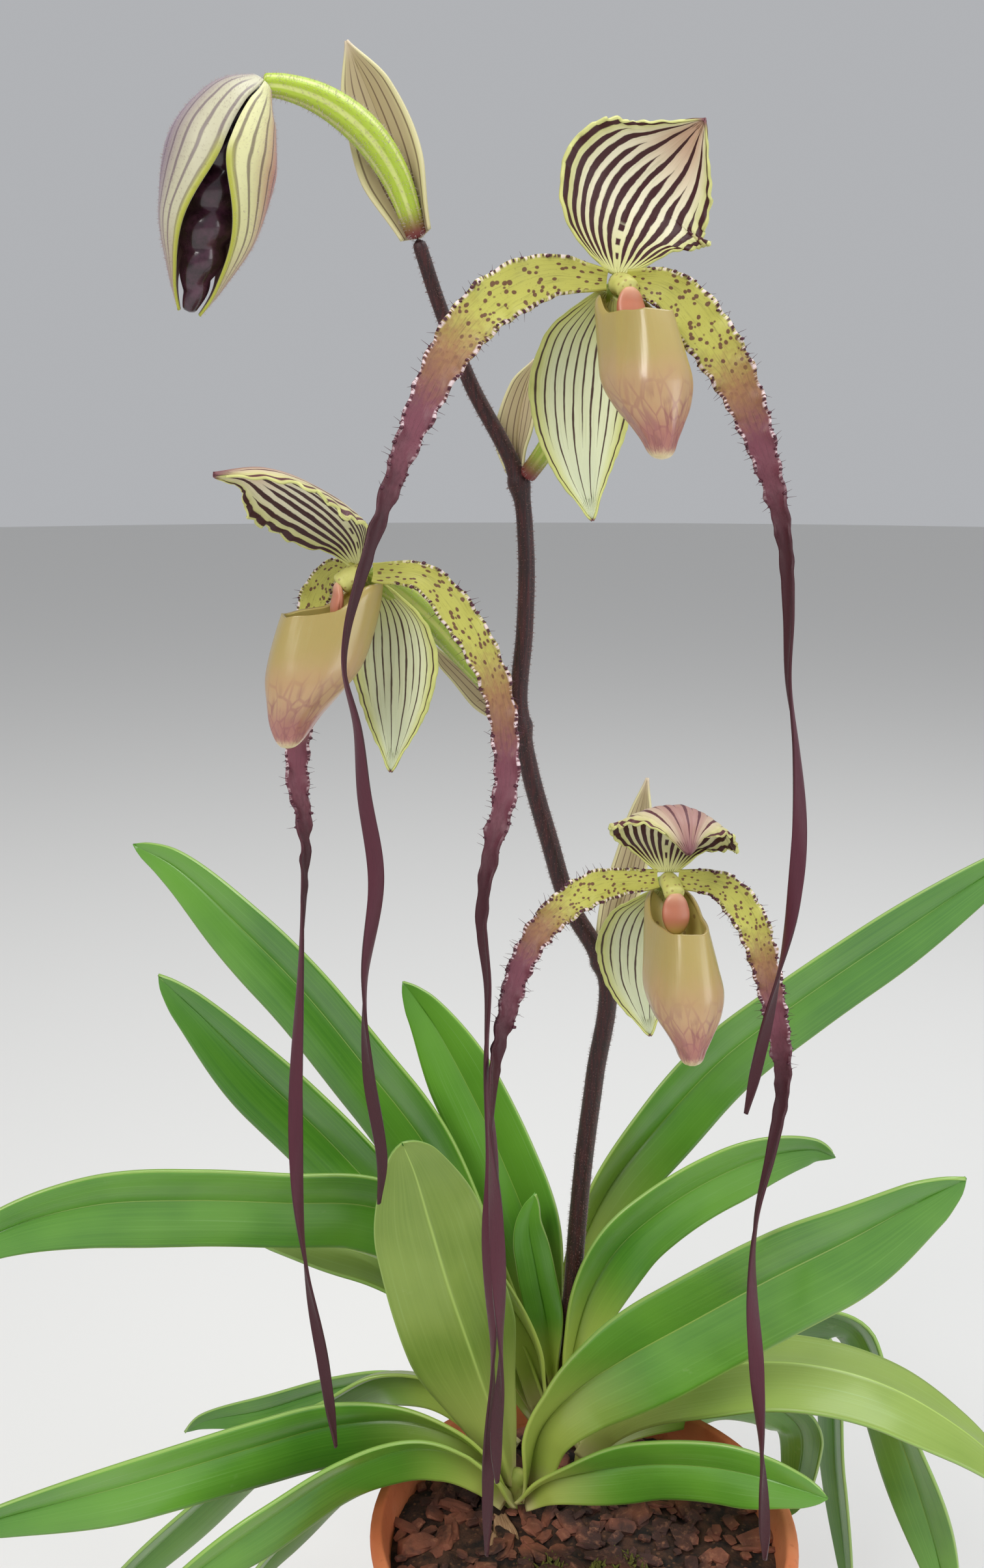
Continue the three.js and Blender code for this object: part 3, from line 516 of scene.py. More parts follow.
def rod(route, rows, sides, radius, **framing):
    """A closed rod along a route. The radius may change along it and round it, and closes at both ends."""
    frames = frames_along(route, rows, **framing)

    def place(row, t, across):
        _, point, along, face, side = frames[row]
        turn = 2 * math.pi * across
        end = min(1.0, row / 2, (rows - row) / 2)
        reach = radius(t, turn) * math.sqrt(max(0.0, end * (2 - end)))
        return point + side * (reach * math.cos(turn)) + face * (reach * math.sin(turn))

    return skin(sides, rows, place, closed=True)


def gathered(*meshes):
    """Several meshes as one."""
    whole = bmesh.new()
    for mesh in meshes:
        held = bpy.data.meshes.new("held")
        mesh.to_mesh(held)
        mesh.free()
        whole.from_mesh(held)
        bpy.data.meshes.remove(held)
    return whole


def rootstock_skin():
    skin_finish = Finish("rootstock", Roughness=0.7)
    tone = skin_finish.cloud(90.0, 4.0)
    colour = skin_finish.blend(skin_finish.rise(tone, 0.35, 0.7), tint(132, 146, 62), tint(172, 170, 92))
    spots = skin_finish.rise(skin_finish.cloud(240.0), 0.55, 0.75)
    colour = skin_finish.blend(spots * 0.6, colour, tint(92, 62, 40))
    return skin_finish.paint(colour, 0.7, tone, 0.4)


def in_mix(growth, drop):
    x, y = GROWTHS[growth]
    return Vector((x, y, MIX_TOP - drop))


rhizome = [
    rod([in_mix(start, 8), in_mix(end, 7)], 12, 14, lambda t, turn: 4.8 + 0.3 * math.sin(30 * t))
    for start, end in (("front", "back"), ("back", "middle"))
]
taper = profile((0, 5), (0.4, 5), (1, 3.4))
for growth, tall in (("front", 16), ("middle", 26), ("back", 14)):
    upright = [in_mix(growth, 10), in_mix(growth, 0), in_mix(growth, -tall)]
    rhizome.append(rod(upright, 14, 16, lambda t, turn: taper(t)))
for number in range(4):
    angle = number / 4 * 2 * math.pi + 0.4
    growth = ("front", "back", "middle")[number % 3]
    x, y = GROWTHS[growth]
    spots = [in_mix(growth, 9)]
    for reach, up in ((12, 22), (26, 48), (22, 88)):
        share = 1 - reach / 80
        spots.append(Vector((
            x * share + reach * math.cos(angle), y * share + reach * math.sin(angle), MIX_TOP - up,
        )))
    rhizome.append(rod(spots, 24, 8, lambda t, turn: 2 - 0.4 * t))
piece("rootstock_skin", gathered(*rhizome), [rootstock_skin()], ["rootstock"])

# The flower stem
# Stiff and almost black maroon, covered in short pale down, with a ringed joint under each flower
# where its bract sits.

STEM_ROUTE = [
    (862, 2150, 52), (864, 2100, 51), (866, 2050, 48), (877, 2000, 46), (886, 1892, 42), (898, 1771, 38),
    (914, 1651, 34), (932, 1500, 30), (873, 1386, 28), (843, 1289, 26), (813, 1181, 24), (797, 1085, 22),
    (806, 964, 21), (808, 843, 20), (794, 732, 19), (723, 590, 17), (675, 470, 15), (641, 366, 13),
]
STEM_JOINTS = (0.435, 0.64, 0.82)


def stem_finish():
    stem = Finish("stem", Roughness=0.5, Sheen_Weight=0.25, Sheen_Roughness=0.4)
    _, along = stem.surface_place()
    streaks = stem.cloud(1.0, 4.0, where=stem.node(
        "ShaderNodeVectorMath", {0: stem.coordinates(), 1: (1400.0, 1400.0, 90.0)}, operation="MULTIPLY"))
    colour = stem.blend(stem.rise(streaks, 0.35, 0.7), tint(34, 10, 14), tint(66, 22, 24))
    colour = stem.blend(stem.rise(along, 0.12, 0.0) * 0.6, colour, tint(96, 84, 44))
    return stem.paint(colour, 0.42 + 0.25 * streaks, streaks, 0.3, 0.3 * MM)


def down_finish(name, pale):
    down = Finish(name, Roughness=0.6)
    return down.paint(down.blend(down.cloud(300.0), pale, tuple(0.8 * part for part in pale[:3]) + (1.0,)))


HAIR_LEAN = 0.5


def down_on(name, body, count, length, material, seed, thin=0.06):
    """Short hairs that stand on a piece's faces, spread by area."""
    draw = random.Random(seed)
    polygons = list(body.data.polygons)
    totals, running = [], 0.0
    for polygon in polygons:
        running += polygon.area
        totals.append(running)
    vertices = body.data.vertices

    def hair(mesh, number):
        polygon = polygons[min(bisect_right(totals, draw.random() * running), len(polygons) - 1)]
        shares = [draw.random() + 0.01 for _ in polygon.vertices]
        place = Vector()
        for share, index in zip(shares, polygon.vertices):
            place += vertices[index].co * (share / sum(shares))
        way = (polygon.normal + HAIR_LEAN * Vector([draw.uniform(-1, 1) for _ in range(3)])).normalized()
        tall = length * draw.uniform(0.5, 1.2) * MM
        turned = way.to_track_quat("Z", "X").to_matrix().to_4x4()
        bmesh.ops.create_cone(
            mesh, cap_ends=False, segments=3, radius1=thin * MM, radius2=0.2 * thin * MM, depth=tall,
            matrix=Matrix.Translation(place + way * (0.46 * tall)) @ turned,
        )

    return piece(name, scattered(count, hair), [material])


stem_taper = profile((0, 3.4), (0.5, 3.1), (1, 2.1))


def stem_radius(t, turn):
    ring = max(1.1 * math.exp(-(((t - joint) / 0.009) ** 2)) for joint in STEM_JOINTS)
    groove = max(0.35 * math.exp(-(((t - joint - 0.006) / 0.0022) ** 2)) for joint in STEM_JOINTS)
    return stem_taper(t) + ring - groove + 0.08 * math.cos(5 * turn)


stem = piece(
    "stem", rod(seen(STEM_ROUTE), 300, 20, stem_radius), [stem_finish()], ["flower_stem"]
)
pale_down = down_finish("pale_down", tint(206, 190, 184))
brown_down = down_finish("brown_down", tint(140, 104, 98))
down_on("stem_down", stem, 9000, 0.9, brown_down, 21)

# Flowers
# Each hangs from its joint on a ribbed ovary. Round its hub sit the striped sepals above and below,
# two long petals that hang as ribbons, a glossy pouch and the shield over the pouch's mouth.

FLOWERS = {
    "flower_top": {
        "hub": (948, 436, -8), "heading": 21, "tilt": 1, "petal_width": 14.5,
        "ovary": [(806, 735, 18), (832, 700, 16), (868, 640, 14), (905, 560, 8), (936, 478, 0), (948, 438, -7)],
        "bract": {
            "route": [(797, 728, 22), (795, 680, 24), (803, 620, 25), (822, 552, 25)], "width": 17, "turn": 20,
        },
        "dorsal": {
            "route": [(946, 422, -9), (952, 356, -5), (980, 296, -3), (1034, 240, -7), (1084, 182, -17)],
            "width": 48, "cup": 9, "turn": -18,
        },
        "synsepal": {
            "route": [(936, 450, -7), (905, 530, 1), (895, 620, 4), (898, 720, 4), (911, 800, 2)],
            "width": 31, "turn": 0,
        },
        "left_petal": {
            "route": [
                (932, 430, -10), (845, 424, -13), (771, 455, -18), (723, 498, -23), (675, 572, -30),
                (626, 678, -38), (590, 773, -46), (554, 880, -52), (531, 966, -54), (527, 1030, -54),
                (547, 1120, -53), (558, 1217, -51), (578, 1349, -48), (562, 1506, -46), (567, 1651, -44),
                (587, 1783, -42), (582, 1849, -41),
            ],
            "turn": (0, -10, 40, 150, 420),
        },
        "right_petal": {
            "route": [
                (962, 430, -12), (1026, 446, -15), (1084, 510, -17), (1133, 590, -19), (1175, 699, -21),
                (1205, 819, -24), (1214, 940, -27), (1214, 1048, -29), (1226, 1157, -31),
                (1229, 1277, -33), (1217, 1398, -35), (1193, 1506, -36), (1169, 1614, -37),
                (1146, 1711, -38),
            ],
            "turn": (0, 10, -30, -120, -400),
        },
    },
    "flower_left": {
        "hub": (560, 880, -6), "heading": -72, "tilt": -6, "petal_width": 10.5,
        "ovary": [
            (796, 1094, 22), (765, 1066, 19), (722, 1020, 15), (670, 960, 10), (615, 910, 2), (564, 882, -4),
        ],
        "bract": {
            "route": [(790, 1098, 27), (760, 1072, 27), (715, 1032, 24), (662, 988, 20)],
            "width": 16, "turn": 60,
        },
        "dorsal": {
            "route": [
                (556, 868, -7), (548, 828, -6), (522, 792, -8), (470, 752, -14), (399, 722, -22),
                (328, 727, -28),
            ],
            "width": 44, "cup": 9, "turn": 58,
        },
        "synsepal": {
            "route": [(578, 894, -2), (606, 950, 3), (614, 1030, 5), (610, 1110, 4), (602, 1186, 0)],
            "width": 29, "turn": -32,
        },
        "left_petal": {
            "route": [
                (546, 880, -6), (508, 882, 4), (482, 930, 10), (466, 1010, 10), (462, 1110, 6),
                (456, 1193, 2), (466, 1277, -2), (464, 1386, -6), (458, 1542, -10), (454, 1687, -14),
                (458, 1831, -18), (476, 1976, -20), (497, 2096, -22), (516, 2223, -23),
            ],
            "turn": (0, -40, 60, 160, 420),
        },
        "right_petal": {
            "route": [
                (574, 880, -9), (651, 888, -14), (711, 955, -18), (759, 1048, -22), (777, 1145, -26),
                (777, 1217, -29), (755, 1313, -33), (742, 1410, -36), (752, 1518, -39), (749, 1627, -42),
                (757, 1783, -46), (752, 1900, -48), (756, 2080, -50), (750, 2265, -51), (748, 2390, -52),
            ],
            "turn": (0, 12, -40, -140, -420),
        },
    },
    "flower_bottom": {
        "hub": (1026, 1352, -8), "heading": 10, "tilt": 0, "petal_width": 10.5,
        "ovary": [(934, 1500, 27), (958, 1468, 22), (990, 1424, 15), (1012, 1382, 5), (1025, 1354, -6)],
        "bract": {
            "route": [(926, 1480, 34), (950, 1400, 38), (975, 1310, 40), (995, 1195, 41)],
            "width": 17, "turn": 10,
        },
        "dorsal": {
            "route": [
                (1024, 1340, -9), (1024, 1296, -6), (1034, 1256, -10), (1048, 1240, -21),
                (1057, 1266, -31), (1060, 1312, -36),
            ],
            "width": 40, "cup": 9, "turn": -8,
        },
        "synsepal": {
            "route": [(1018, 1368, -6), (996, 1430, 2), (988, 1500, 5), (994, 1556, 5), (1000, 1590, 4)],
            "width": 30, "turn": 0,
        },
        "left_petal": {
            "route": [
                (1010, 1350, -11), (916, 1364, -16), (843, 1416, -22), (801, 1482, -28), (778, 1556, -34),
                (762, 1618, -39), (752, 1720, -60), (762, 1878, -58), (771, 2100, -56), (763, 2200, -55),
                (764, 2278, -55),
            ],
            "turn": (0, -12, 40, 150, 400),
        },
        "right_petal": {
            "route": [
                (1042, 1350, -11), (1108, 1362, -14), (1151, 1412, -17), (1175, 1484, -20),
                (1193, 1566, -23), (1204, 1663, -28), (1187, 1771, -35), (1163, 1879, -42),
                (1157, 1988, -46), (1163, 2108, -49), (1169, 2229, -51), (1175, 2349, -52),
                (1175, 2396, -52),
            ],
            "turn": (0, 12, -30, -120, -380),
        },
    },
}
TISSUE = 0.8


def blade(route, rows, columns, width, place_across, ease=1.0, **framing):
    """A thin sheet along a route. place_across gives how far out and how far up each point of a row lies."""
    frames = frames_along(seen(route), rows, ease=ease, **framing)

    def place(row, t, across):
        _, point, along, face, side = frames[row]
        q = 2 * across - 1
        out, lift, slip = place_across(t, q, width(t) / 2)
        return point + side * out + face * lift + along * slip

    return skin(columns, rows, place, ease=ease)


def thicken(made, thickness, under=True):
    wall = made.modifiers.new("thickness", "SOLIDIFY")
    wall.thickness = thickness * MM
    wall.offset = 0.0
    wall.material_offset = 1 if under else 0
    return made


def flower_axes(flower):
    """The flower's own place for right, forward and up, from its heading and tilt."""
    turn, lift = math.radians(flower["heading"]), math.radians(flower["tilt"])
    level = Vector((math.sin(turn), -math.cos(turn), 0))
    forward = level * math.cos(lift) + Vector((0, 0, math.sin(lift)))
    right = Vector((math.cos(turn), math.sin(turn), 0))
    up = forward.cross(right)
    middle = seen([flower["hub"]])[0]

    def at(r, f, u):
        return middle + right * r + forward * f + up * u

    return at, right, forward, up


def striped(name, ground, edge, centre, dark, lines, line_width, centre_from, fade=(0.96, 1.0), dots=True):
    """Sepal skin: dark lines from base to tip that run together at both ends, every other one shorter."""
    skin_finish = Finish(
        name, Roughness=0.46, Subsurface_Weight=0.12, Subsurface_Radius=(0.004, 0.004, 0.002)
    )
    across, along = skin_finish.surface_place()
    wander = skin_finish.cloud(1.0, 3.0, where=skin_finish.plane(across * 9.0, along * 5.0))
    ragged = skin_finish.cloud(1.0, 4.0, 0.7, where=skin_finish.plane(across * 60.0, along * 16.0, 3.0))
    count = (across + (wander - 0.5) * 0.035) * lines
    number = count.sum("FLOOR", count)
    gap = abs(count.sum("FRACT", count) - 0.5)
    odd = number.sum("MODULO", number, 2.0) > 0.5
    reach = 0.93 - 0.3 * odd
    body = skin_finish.rise(along, 0.015, 0.12) * skin_finish.rise(along - reach, 0.07, -0.12)
    half = line_width * body * (0.62 + 0.76 * ragged)
    line = skin_finish.rise(gap - half, 0.045, -0.045) * (body > 0.02)
    out = abs(2.0 * across - 1.0)
    if dots:
        beads = skin_finish.rise(along.sum("SINE", along * 78.0), -0.2, 0.5)
        midline = skin_finish.rise(out, 0.1, 0.05) * skin_finish.rise(along, 0.3, 0.26)
        line = line * (1.0 - midline * (1.0 - beads))
    colour = skin_finish.blend(skin_finish.rise(along, 0.4, 0.02) * 0.75, ground, edge)
    colour = skin_finish.blend(skin_finish.rise(out, 0.55, 1.0) * 0.85, colour, edge)
    warm = skin_finish.rise(along, centre_from, centre_from + 0.4) * skin_finish.rise(out, 0.85, 0.25)
    colour = skin_finish.blend(warm * 0.85, colour, centre)
    threads = skin_finish.cloud(1.0, 2.0, where=skin_finish.plane(across * 110.0, along * 4.0))
    veins = skin_finish.rise(threads, 0.5, 0.7)
    colour = skin_finish.blend(veins * 0.18, colour, tint(168, 178, 96))
    colour = skin_finish.blend(line, colour, dark)
    tip = skin_finish.rise(along, *fade)
    colour = skin_finish.blend(tip, colour, tint(128, 78, 84))
    return skin_finish.paint(colour, 0.4 + 0.2 * ragged, veins - 0.8 * line, 0.25, 0.35 * MM)


DARK_LINE = tint(60, 4, 14)
dorsal_face = striped(
    "dorsal_face", tint(238, 232, 204), tint(206, 208, 118), tint(206, 160, 136), DARK_LINE, 13.0, 0.26, 0.5
)
dorsal_back = striped(
    "dorsal_back", tint(214, 200, 168), tint(196, 192, 116), tint(150, 96, 98), tint(88, 38, 44),
    13.0, 0.22, 0.2, fade=(0.86, 1.0), dots=False,
)
synsepal_face = striped(
    "synsepal_face", tint(222, 228, 190), tint(206, 210, 112), tint(208, 216, 184), tint(70, 44, 32),
    11.0, 0.1, 0.5, fade=(0.985, 1.0), dots=False,
)
synsepal_back = striped(
    "synsepal_back", tint(206, 212, 160), tint(188, 196, 100), tint(196, 200, 150), tint(110, 80, 66),
    11.0, 0.11, 0.5, fade=(0.985, 1.0), dots=False,
)


def sepal(name, route, width, faces, replaces, cup=5, turn=0, ruffle=1.0):
    outline = profile(
        (0, 7), (0.1, 0.5 * width), (0.26, 0.88 * width), (0.42, width), (0.6, 0.88 * width),
        (0.78, 0.56 * width), (0.92, 0.22 * width), (1, 1.6),
    )
    cupping = profile((0, 2), (0.45, cup), (1, 1))
    angle = math.radians(turn)

    def place_across(t, q, half):
        margin = abs(q) ** 7 * math.sin(math.pi * t)
        wave = 1.1 * math.sin(15 * t + 1.4 * q) + 0.7 * ruffle * math.sin(62 * t + 5 * q)
        keel = 0.5 * math.exp(-((q / 0.05) ** 2)) * math.sin(math.pi * t)
        ribs = 0.12 * math.cos(13 * math.pi * q)
        tip = max(0.0, (t - 0.96) / 0.04)
        narrow = math.sqrt(max(0.02, 1 - tip * tip))
        slip = 0.5 * ruffle * margin * math.sin(97 * t)
        return q * half * narrow, cupping(t) * q * q + margin * wave - keel + ribs, slip

    mesh = blade(route, 96, 40, outline, place_across, carried=True, roll=lambda t: angle)
    return thicken(piece(name, mesh, faces, [replaces]), TISSUE)


PETAL_EASE = 1.6


def petal_width(full):
    return profile(
        (0, 5.5), (0.05, 0.8 * full), (0.09, full), (0.14, 0.93 * full), (0.21, 0.5 * full + 2.6), (0.28, 6.6),
        (0.36, 4.6), (0.7, 4.4), (0.95, 3.4), (1, 1.2),
    )


def petal_finish(name, pale):
    """Petal skin: spotted yellow green at first, then tan, then dusty rose, then a burgundy ribbon."""
    petal = Finish(name, Roughness=0.5, Sheen_Weight=0.08, Sheen_Roughness=0.35)
    across, along = petal.surface_place()
    out = abs(2.0 * across - 1.0)
    mottle = petal.cloud(1.0, 4.0, where=petal.plane(across * 7.0, along * 150.0))
    streak = petal.cloud(1.0, 4.0, where=petal.plane(across * 26.0, along * 30.0))
    here = along + (mottle - 0.5) * 0.05
    colour = petal.blend(petal.rise(here, 0.115, 0.18), tint(184, 182, 84), tint(150, 110, 70))
    rose, burgundy = tint(116, 60, 74), tint(58, 4, 20)
    if pale:
        rose, burgundy = tint(142, 92, 106), tint(76, 18, 38)
    colour = petal.blend(petal.rise(here, 0.165, 0.24), colour, rose)
    colour = petal.blend(petal.rise(here, 0.24, 0.36), colour, burgundy)
    colour = petal.blend(petal.rise(streak, 0.5, 0.75) * 0.35, colour, tint(42, 4, 18))
    crowd = petal.plane(across * 6.5, along * 128.0)
    spots = petal.rise(petal.cells(1.0, crowd) + 0.3 * petal.cloud(1.0, 1.0, where=crowd), 0.5, 0.4)
    early = petal.rise(along, 0.2, 0.14) * petal.rise(out, 0.97, 0.8)
    colour = petal.blend(spots * early * 0.9, colour, tint(92, 40, 34))
    flecks = petal.cloud(1.0, 2.0, where=petal.plane(across * 2.0, along * 210.0))
    rim = petal.rise(out, 0.8, 0.94) * petal.rise(along, 0.32, 0.22) * petal.rise(along, 0.01, 0.05)
    colour = petal.blend(rim * petal.rise(flecks, 0.48, 0.56) * 0.9, colour, tint(236, 216, 220))
    colour = petal.blend(rim * petal.rise(flecks, 0.5, 0.42), colour, tint(68, 12, 34))
    return petal.paint(colour, 0.44 + 0.2 * mottle, mottle + streak, 0.25, 0.3 * MM)


petal_face = petal_finish("petal_face", pale=False)
petal_back = petal_finish("petal_back", pale=True)


def petal_roll(turn):
    return degrees((0, turn[0]), (0.15, turn[1]), (0.35, turn[2]), (0.6, turn[3]), (1, turn[4]))


def petal_across(t, q, half):
    early = max(0.0, math.sin(math.pi * t / 0.4)) if t < 0.4 else 0.0
    wave = q * q * (1.3 * math.sin(170 * t + q) + 0.5 * math.sin(310 * t + 3 * q)) * early
    cup = (1 + 0.2 * early - 0.8 * t) * q * q
    return q * half + 0.35 * early * q * math.sin(240 * t), cup + wave, 0.0


def petal(name, route, turn, full, replaces):
    mesh = blade(
        route, 240, 10, petal_width(full), petal_across, ease=PETAL_EASE, roll=petal_roll(turn)
    )
    return thicken(piece(name, mesh, [petal_face, petal_back], [replaces]), TISSUE)


def wart_finish():
    wart = Finish("wart", Roughness=0.35)
    return wart.paint(wart.blend(wart.cloud(500.0), tint(54, 12, 30), tint(88, 26, 48)))


wart_skin = wart_finish()


def petal_warts(name, petals, full, seed):
    """Dark warts with long hairs on both margins of the first third of each petal."""
    draw = random.Random(seed)
    width = petal_width(full)
    spots = []
    for shape in petals:
        frames = frames_along(seen(shape["route"]), 400, roll=petal_roll(shape["turn"]))
        for edge in (-1, 1):
            t = 0.012
            while t < 0.31:
                t += draw.uniform(0.0045, 0.009)
                spots.append((t, edge, frames[round(t * 400)]))

    def wart(mesh, number):
        t, edge, (_, point, _, face, side) = spots[number]
        q = edge * draw.uniform(0.86, 1.0)
        out, lift, _ = petal_across(t, q, width(t) / 2)
        place = (point + side * out + face * (lift + draw.choice((-0.4, 0.5)))) * MM
        size = draw.uniform(0.4, 0.85) * MM
        stretch = Matrix.Diagonal((size, size, 0.7 * size, 1.0))
        bmesh.ops.create_icosphere(mesh, subdivisions=1, radius=1.0, matrix=Matrix.Translation(place) @ stretch)
        if t > 0.07 and draw.random() < 0.8:
            way = (side * edge + 0.6 * Vector([draw.uniform(-1, 1) for _ in range(3)])).normalized()
            tall = draw.uniform(1.2, 3.2) * MM
            turned = way.to_track_quat("Z", "X").to_matrix().to_4x4()
            bmesh.ops.create_cone(
                mesh, cap_ends=False, segments=3, radius1=0.11 * MM, radius2=0.03 * MM, depth=tall,
                matrix=Matrix.Translation(place + way * (0.5 * tall)) @ turned,
            )

    return piece(name, scattered(len(spots), wart), [wart_skin])


POUCH_RINGS = [
    (29.5, -49.2, 0.0, 0.0, 0.0), (29.4, -48.6, 2.2, 2.2, 0.0), (29, -47, 3.6, 4, 0.0), (28, -44, 4.7, 6, 0.0),
    (26.4, -40, 7.0, 8.2, 0.0), (23.2, -34.5, 10.3, 11.2, 0.0), (19.5, -28, 11.8, 14.4, 0.0),
    (16, -21, 10.6, 15.6, 1.0), (12.5, -14, 9.2, 16, 3.4), (10.3, -9.2, 8.2, 15.8, 6.6),
]


def through(stops):
    """Smoothly changing numbers that pass through a list of rows."""
    def value(t):
        place = t * (len(stops) - 1)
        k = min(int(place), len(stops) - 2)
        share = place - k
        before, here, there, after = (stops[min(max(k + step, 0), len(stops) - 1)] for step in (-1, 0, 1, 2))
        return [
            0.5 * (
                2 * b + (c - a) * share + (2 * a - 5 * b + 4 * c - d) * share ** 2
                + (3 * b - a - 3 * c + d) * share ** 3
            )
            for a, b, c, d in zip(before, here, there, after)
        ]
    return value


def pouch_finish(name, inside):
    pouch = Finish(name, Roughness=0.3, Coat_Weight=0.35, Coat_Roughness=0.18,
                   Subsurface_Weight=0.15, Subsurface_Radius=(0.006, 0.003, 0.002))
    across, along = pouch.surface_place()
    patch = pouch.cloud(110.0, 4.0)
    here = along + (patch - 0.5) * 0.16
    if inside:
        colour = pouch.blend(pouch.rise(here, 0.3, 0.9), tint(190, 150, 96), tint(214, 200, 120))
        colour = pouch.blend(pouch.rise(pouch.cells(340.0), 0.3, 0.18) * 0.5, colour, tint(120, 56, 46))
        return pouch.paint(colour, 0.4)
    colour = pouch.blend(pouch.rise(here, 0.6, 0.86), tint(184, 150, 110), tint(172, 152, 90))
    colour = pouch.blend(pouch.rise(here, 0.6, 0.38), colour, tint(166, 110, 98))
    colour = pouch.blend(pouch.rise(here, 0.31, 0.15), colour, tint(218, 200, 156))
    net = pouch.cells(1.0, pouch.plane(across * 22.0, along * 9.0), feature="DISTANCE_TO_EDGE")
    mesh_mask = pouch.rise(net, 0.1, 0.02) * pouch.rise(here, 0.75, 0.5) * pouch.rise(along, 0.14, 0.26)
    colour = pouch.blend(mesh_mask * 0.45, colour, tint(142, 78, 88))
    blotch = pouch.rise(pouch.cloud(1.0, 3.0, where=pouch.plane(across * 26.0, along * 5.0)), 0.5, 0.68)
    low = pouch.rise(along, 0.72, 0.5) * pouch.rise(along, 0.13, 0.24)
    colour = pouch.blend(blotch * low * 0.6, colour, tint(132, 76, 78))
    ribs = pouch.cloud(1.0, 2.0, where=pouch.plane(across * 34.0, along * 1.5))
    return pouch.paint(colour, 0.26 + 0.14 * patch, ribs + 0.3 * patch, 0.22, 0.6 * MM)


pouch_outside = pouch_finish("pouch_outside", False)
pouch_inside = pouch_finish("pouch_inside", True)


def pouch(name, flower, replaces):
    at, _, _, _ = flower_axes(flower)
    rings = through(POUCH_RINGS)

    def place(row, t, across):
        forward, up, half, deep, lift = rings(t)
        turn = 2 * math.pi * across
        side, front = math.cos(turn), math.sin(turn)
        mouth = max(0.0, (t - 0.45) / 0.55)
        boxy = 1 - 0.42 * mouth * max(0.0, front)
        back = min(1.0, max(0.0, (0.15 - front) / 0.8))
        back = back * back * (3 - 2 * back)
        curl = max(0.0, (t - 0.93) / 0.07) ** 2 * back * (1 - 0.8 * abs(front) ** 6)
        flare = 1 + 0.16 * mouth * mouth * back - 0.3 * curl
        ridge = 0.16 * math.cos(9 * turn) * math.sin(math.pi * min(1, t * 1.1))
        return at(
            (half * flare + ridge) * math.copysign(abs(side) ** boxy, side),
            forward + (deep + ridge) * math.copysign(abs(front) ** (1 - 0.25 * mouth * max(0.0, front)), front),
            up + lift * back - 0.6 * curl + 0.25 * mouth * mouth * math.cos(7 * turn) * max(0.0, front),
        )

    mesh = skin(64, 72, place, closed=True)
    made = piece(name, mesh, [pouch_outside, pouch_inside], [replaces])
    middle = at(0, 19.5, -28) * MM
    if sum(face.normal.dot(face.center - middle) for face in made.data.polygons) < 0:
        made.data.flip_normals()
    wall = made.modifiers.new("wall", "SOLIDIFY")
    wall.thickness = 1.1 * MM
    wall.offset = -1.0
    wall.material_offset = 1
    return made


def column_finish():
    column = Finish("column", Roughness=0.38, Subsurface_Weight=0.2, Subsurface_Radius=(0.004, 0.002, 0.001))
    _, along = column.surface_place()
    tone = column.cloud(300.0, 3.0)
    colour = column.blend(column.rise(along, 0.1, 0.45), tint(214, 190, 92), tint(200, 128, 100))
    colour = column.blend(column.rise(along, 0.6, 0.95), colour, tint(234, 190, 158))
    colour = column.blend(tone * 0.25, colour, tint(176, 96, 72))
    return column.paint(colour, 0.38, tone, 0.2, 0.3 * MM)


column_skin = column_finish()


def hub_finish():
    hub = Finish("hub", Roughness=0.5)
    tone = hub.cloud(420.0, 3.0)
    colour = hub.blend(tone, tint(188, 190, 96), tint(220, 214, 132))
    colour = hub.blend(hub.rise(hub.cells(520.0), 0.3, 0.16) * 0.5, colour, tint(130, 62, 50))
    return hub.paint(colour, 0.5, tone, 0.3, 0.3 * MM)


hub_skin = hub_finish()
SHIELD_LEAN = math.radians(-10)


def column(name, flower, replaces):
    at, right, forward, up = flower_axes(flower)
    stub = rod([at(0, -1, 0), at(0, 4, -0.5), at(0, 8.5, -3)], 14, 18, lambda t, turn: 3 + 0.3 * t)
    turned = Matrix((right, -forward, up)).transposed()
    lean = Matrix.Rotation(SHIELD_LEAN, 3, "X")

    def place(row, t, across):
        turn, height = 2 * math.pi * across, math.cos(math.pi * (1 - t))
        reach = math.sqrt(max(0.0, 1 - height * height))
        square = 1 + 0.16 * abs(math.sin(2 * turn)) * reach
        dent = 0.5 * math.exp(-(((height - 0.35) / 0.3) ** 2)) if math.sin(turn) < 0 else 0.0
        out, front = 4.1 * reach * square * math.cos(turn), 1.9 * reach * math.sin(turn) + dent
        local = Vector((out, front, 6.6 * height))
        return turned @ (lean @ local) + at(0, 9.5, -8)

    shield = skin(32, 24, place, closed=True)
    body = piece(f"{name}_shield", shield, [column_skin], [replaces])
    piece(f"{name}_stub", stub, [hub_skin], [replaces])
    return body


def ovary_finish(name, fresh, ridge):
    ovary = Finish(name, Roughness=0.5, Subsurface_Weight=0.1, Subsurface_Radius=(0.003, 0.003, 0.001))
    across, along = ovary.surface_place()
    rib = abs(across.sum("SINE", across * (6 * math.pi)))
    colour = ovary.blend(ovary.rise(rib, 0.75, 1.0) * 0.7, fresh, ridge)
    colour = ovary.blend(ovary.rise(along, 0.16, 0.02), colour, tint(112, 44, 44))
    return ovary.paint(colour, 0.5, ovary.cloud(500.0), 0.25, 0.3 * MM)


ovary_skin = ovary_finish("ovary", tint(150, 172, 62), tint(196, 200, 110))
maroon_down = down_finish("maroon_down", tint(120, 60, 66))


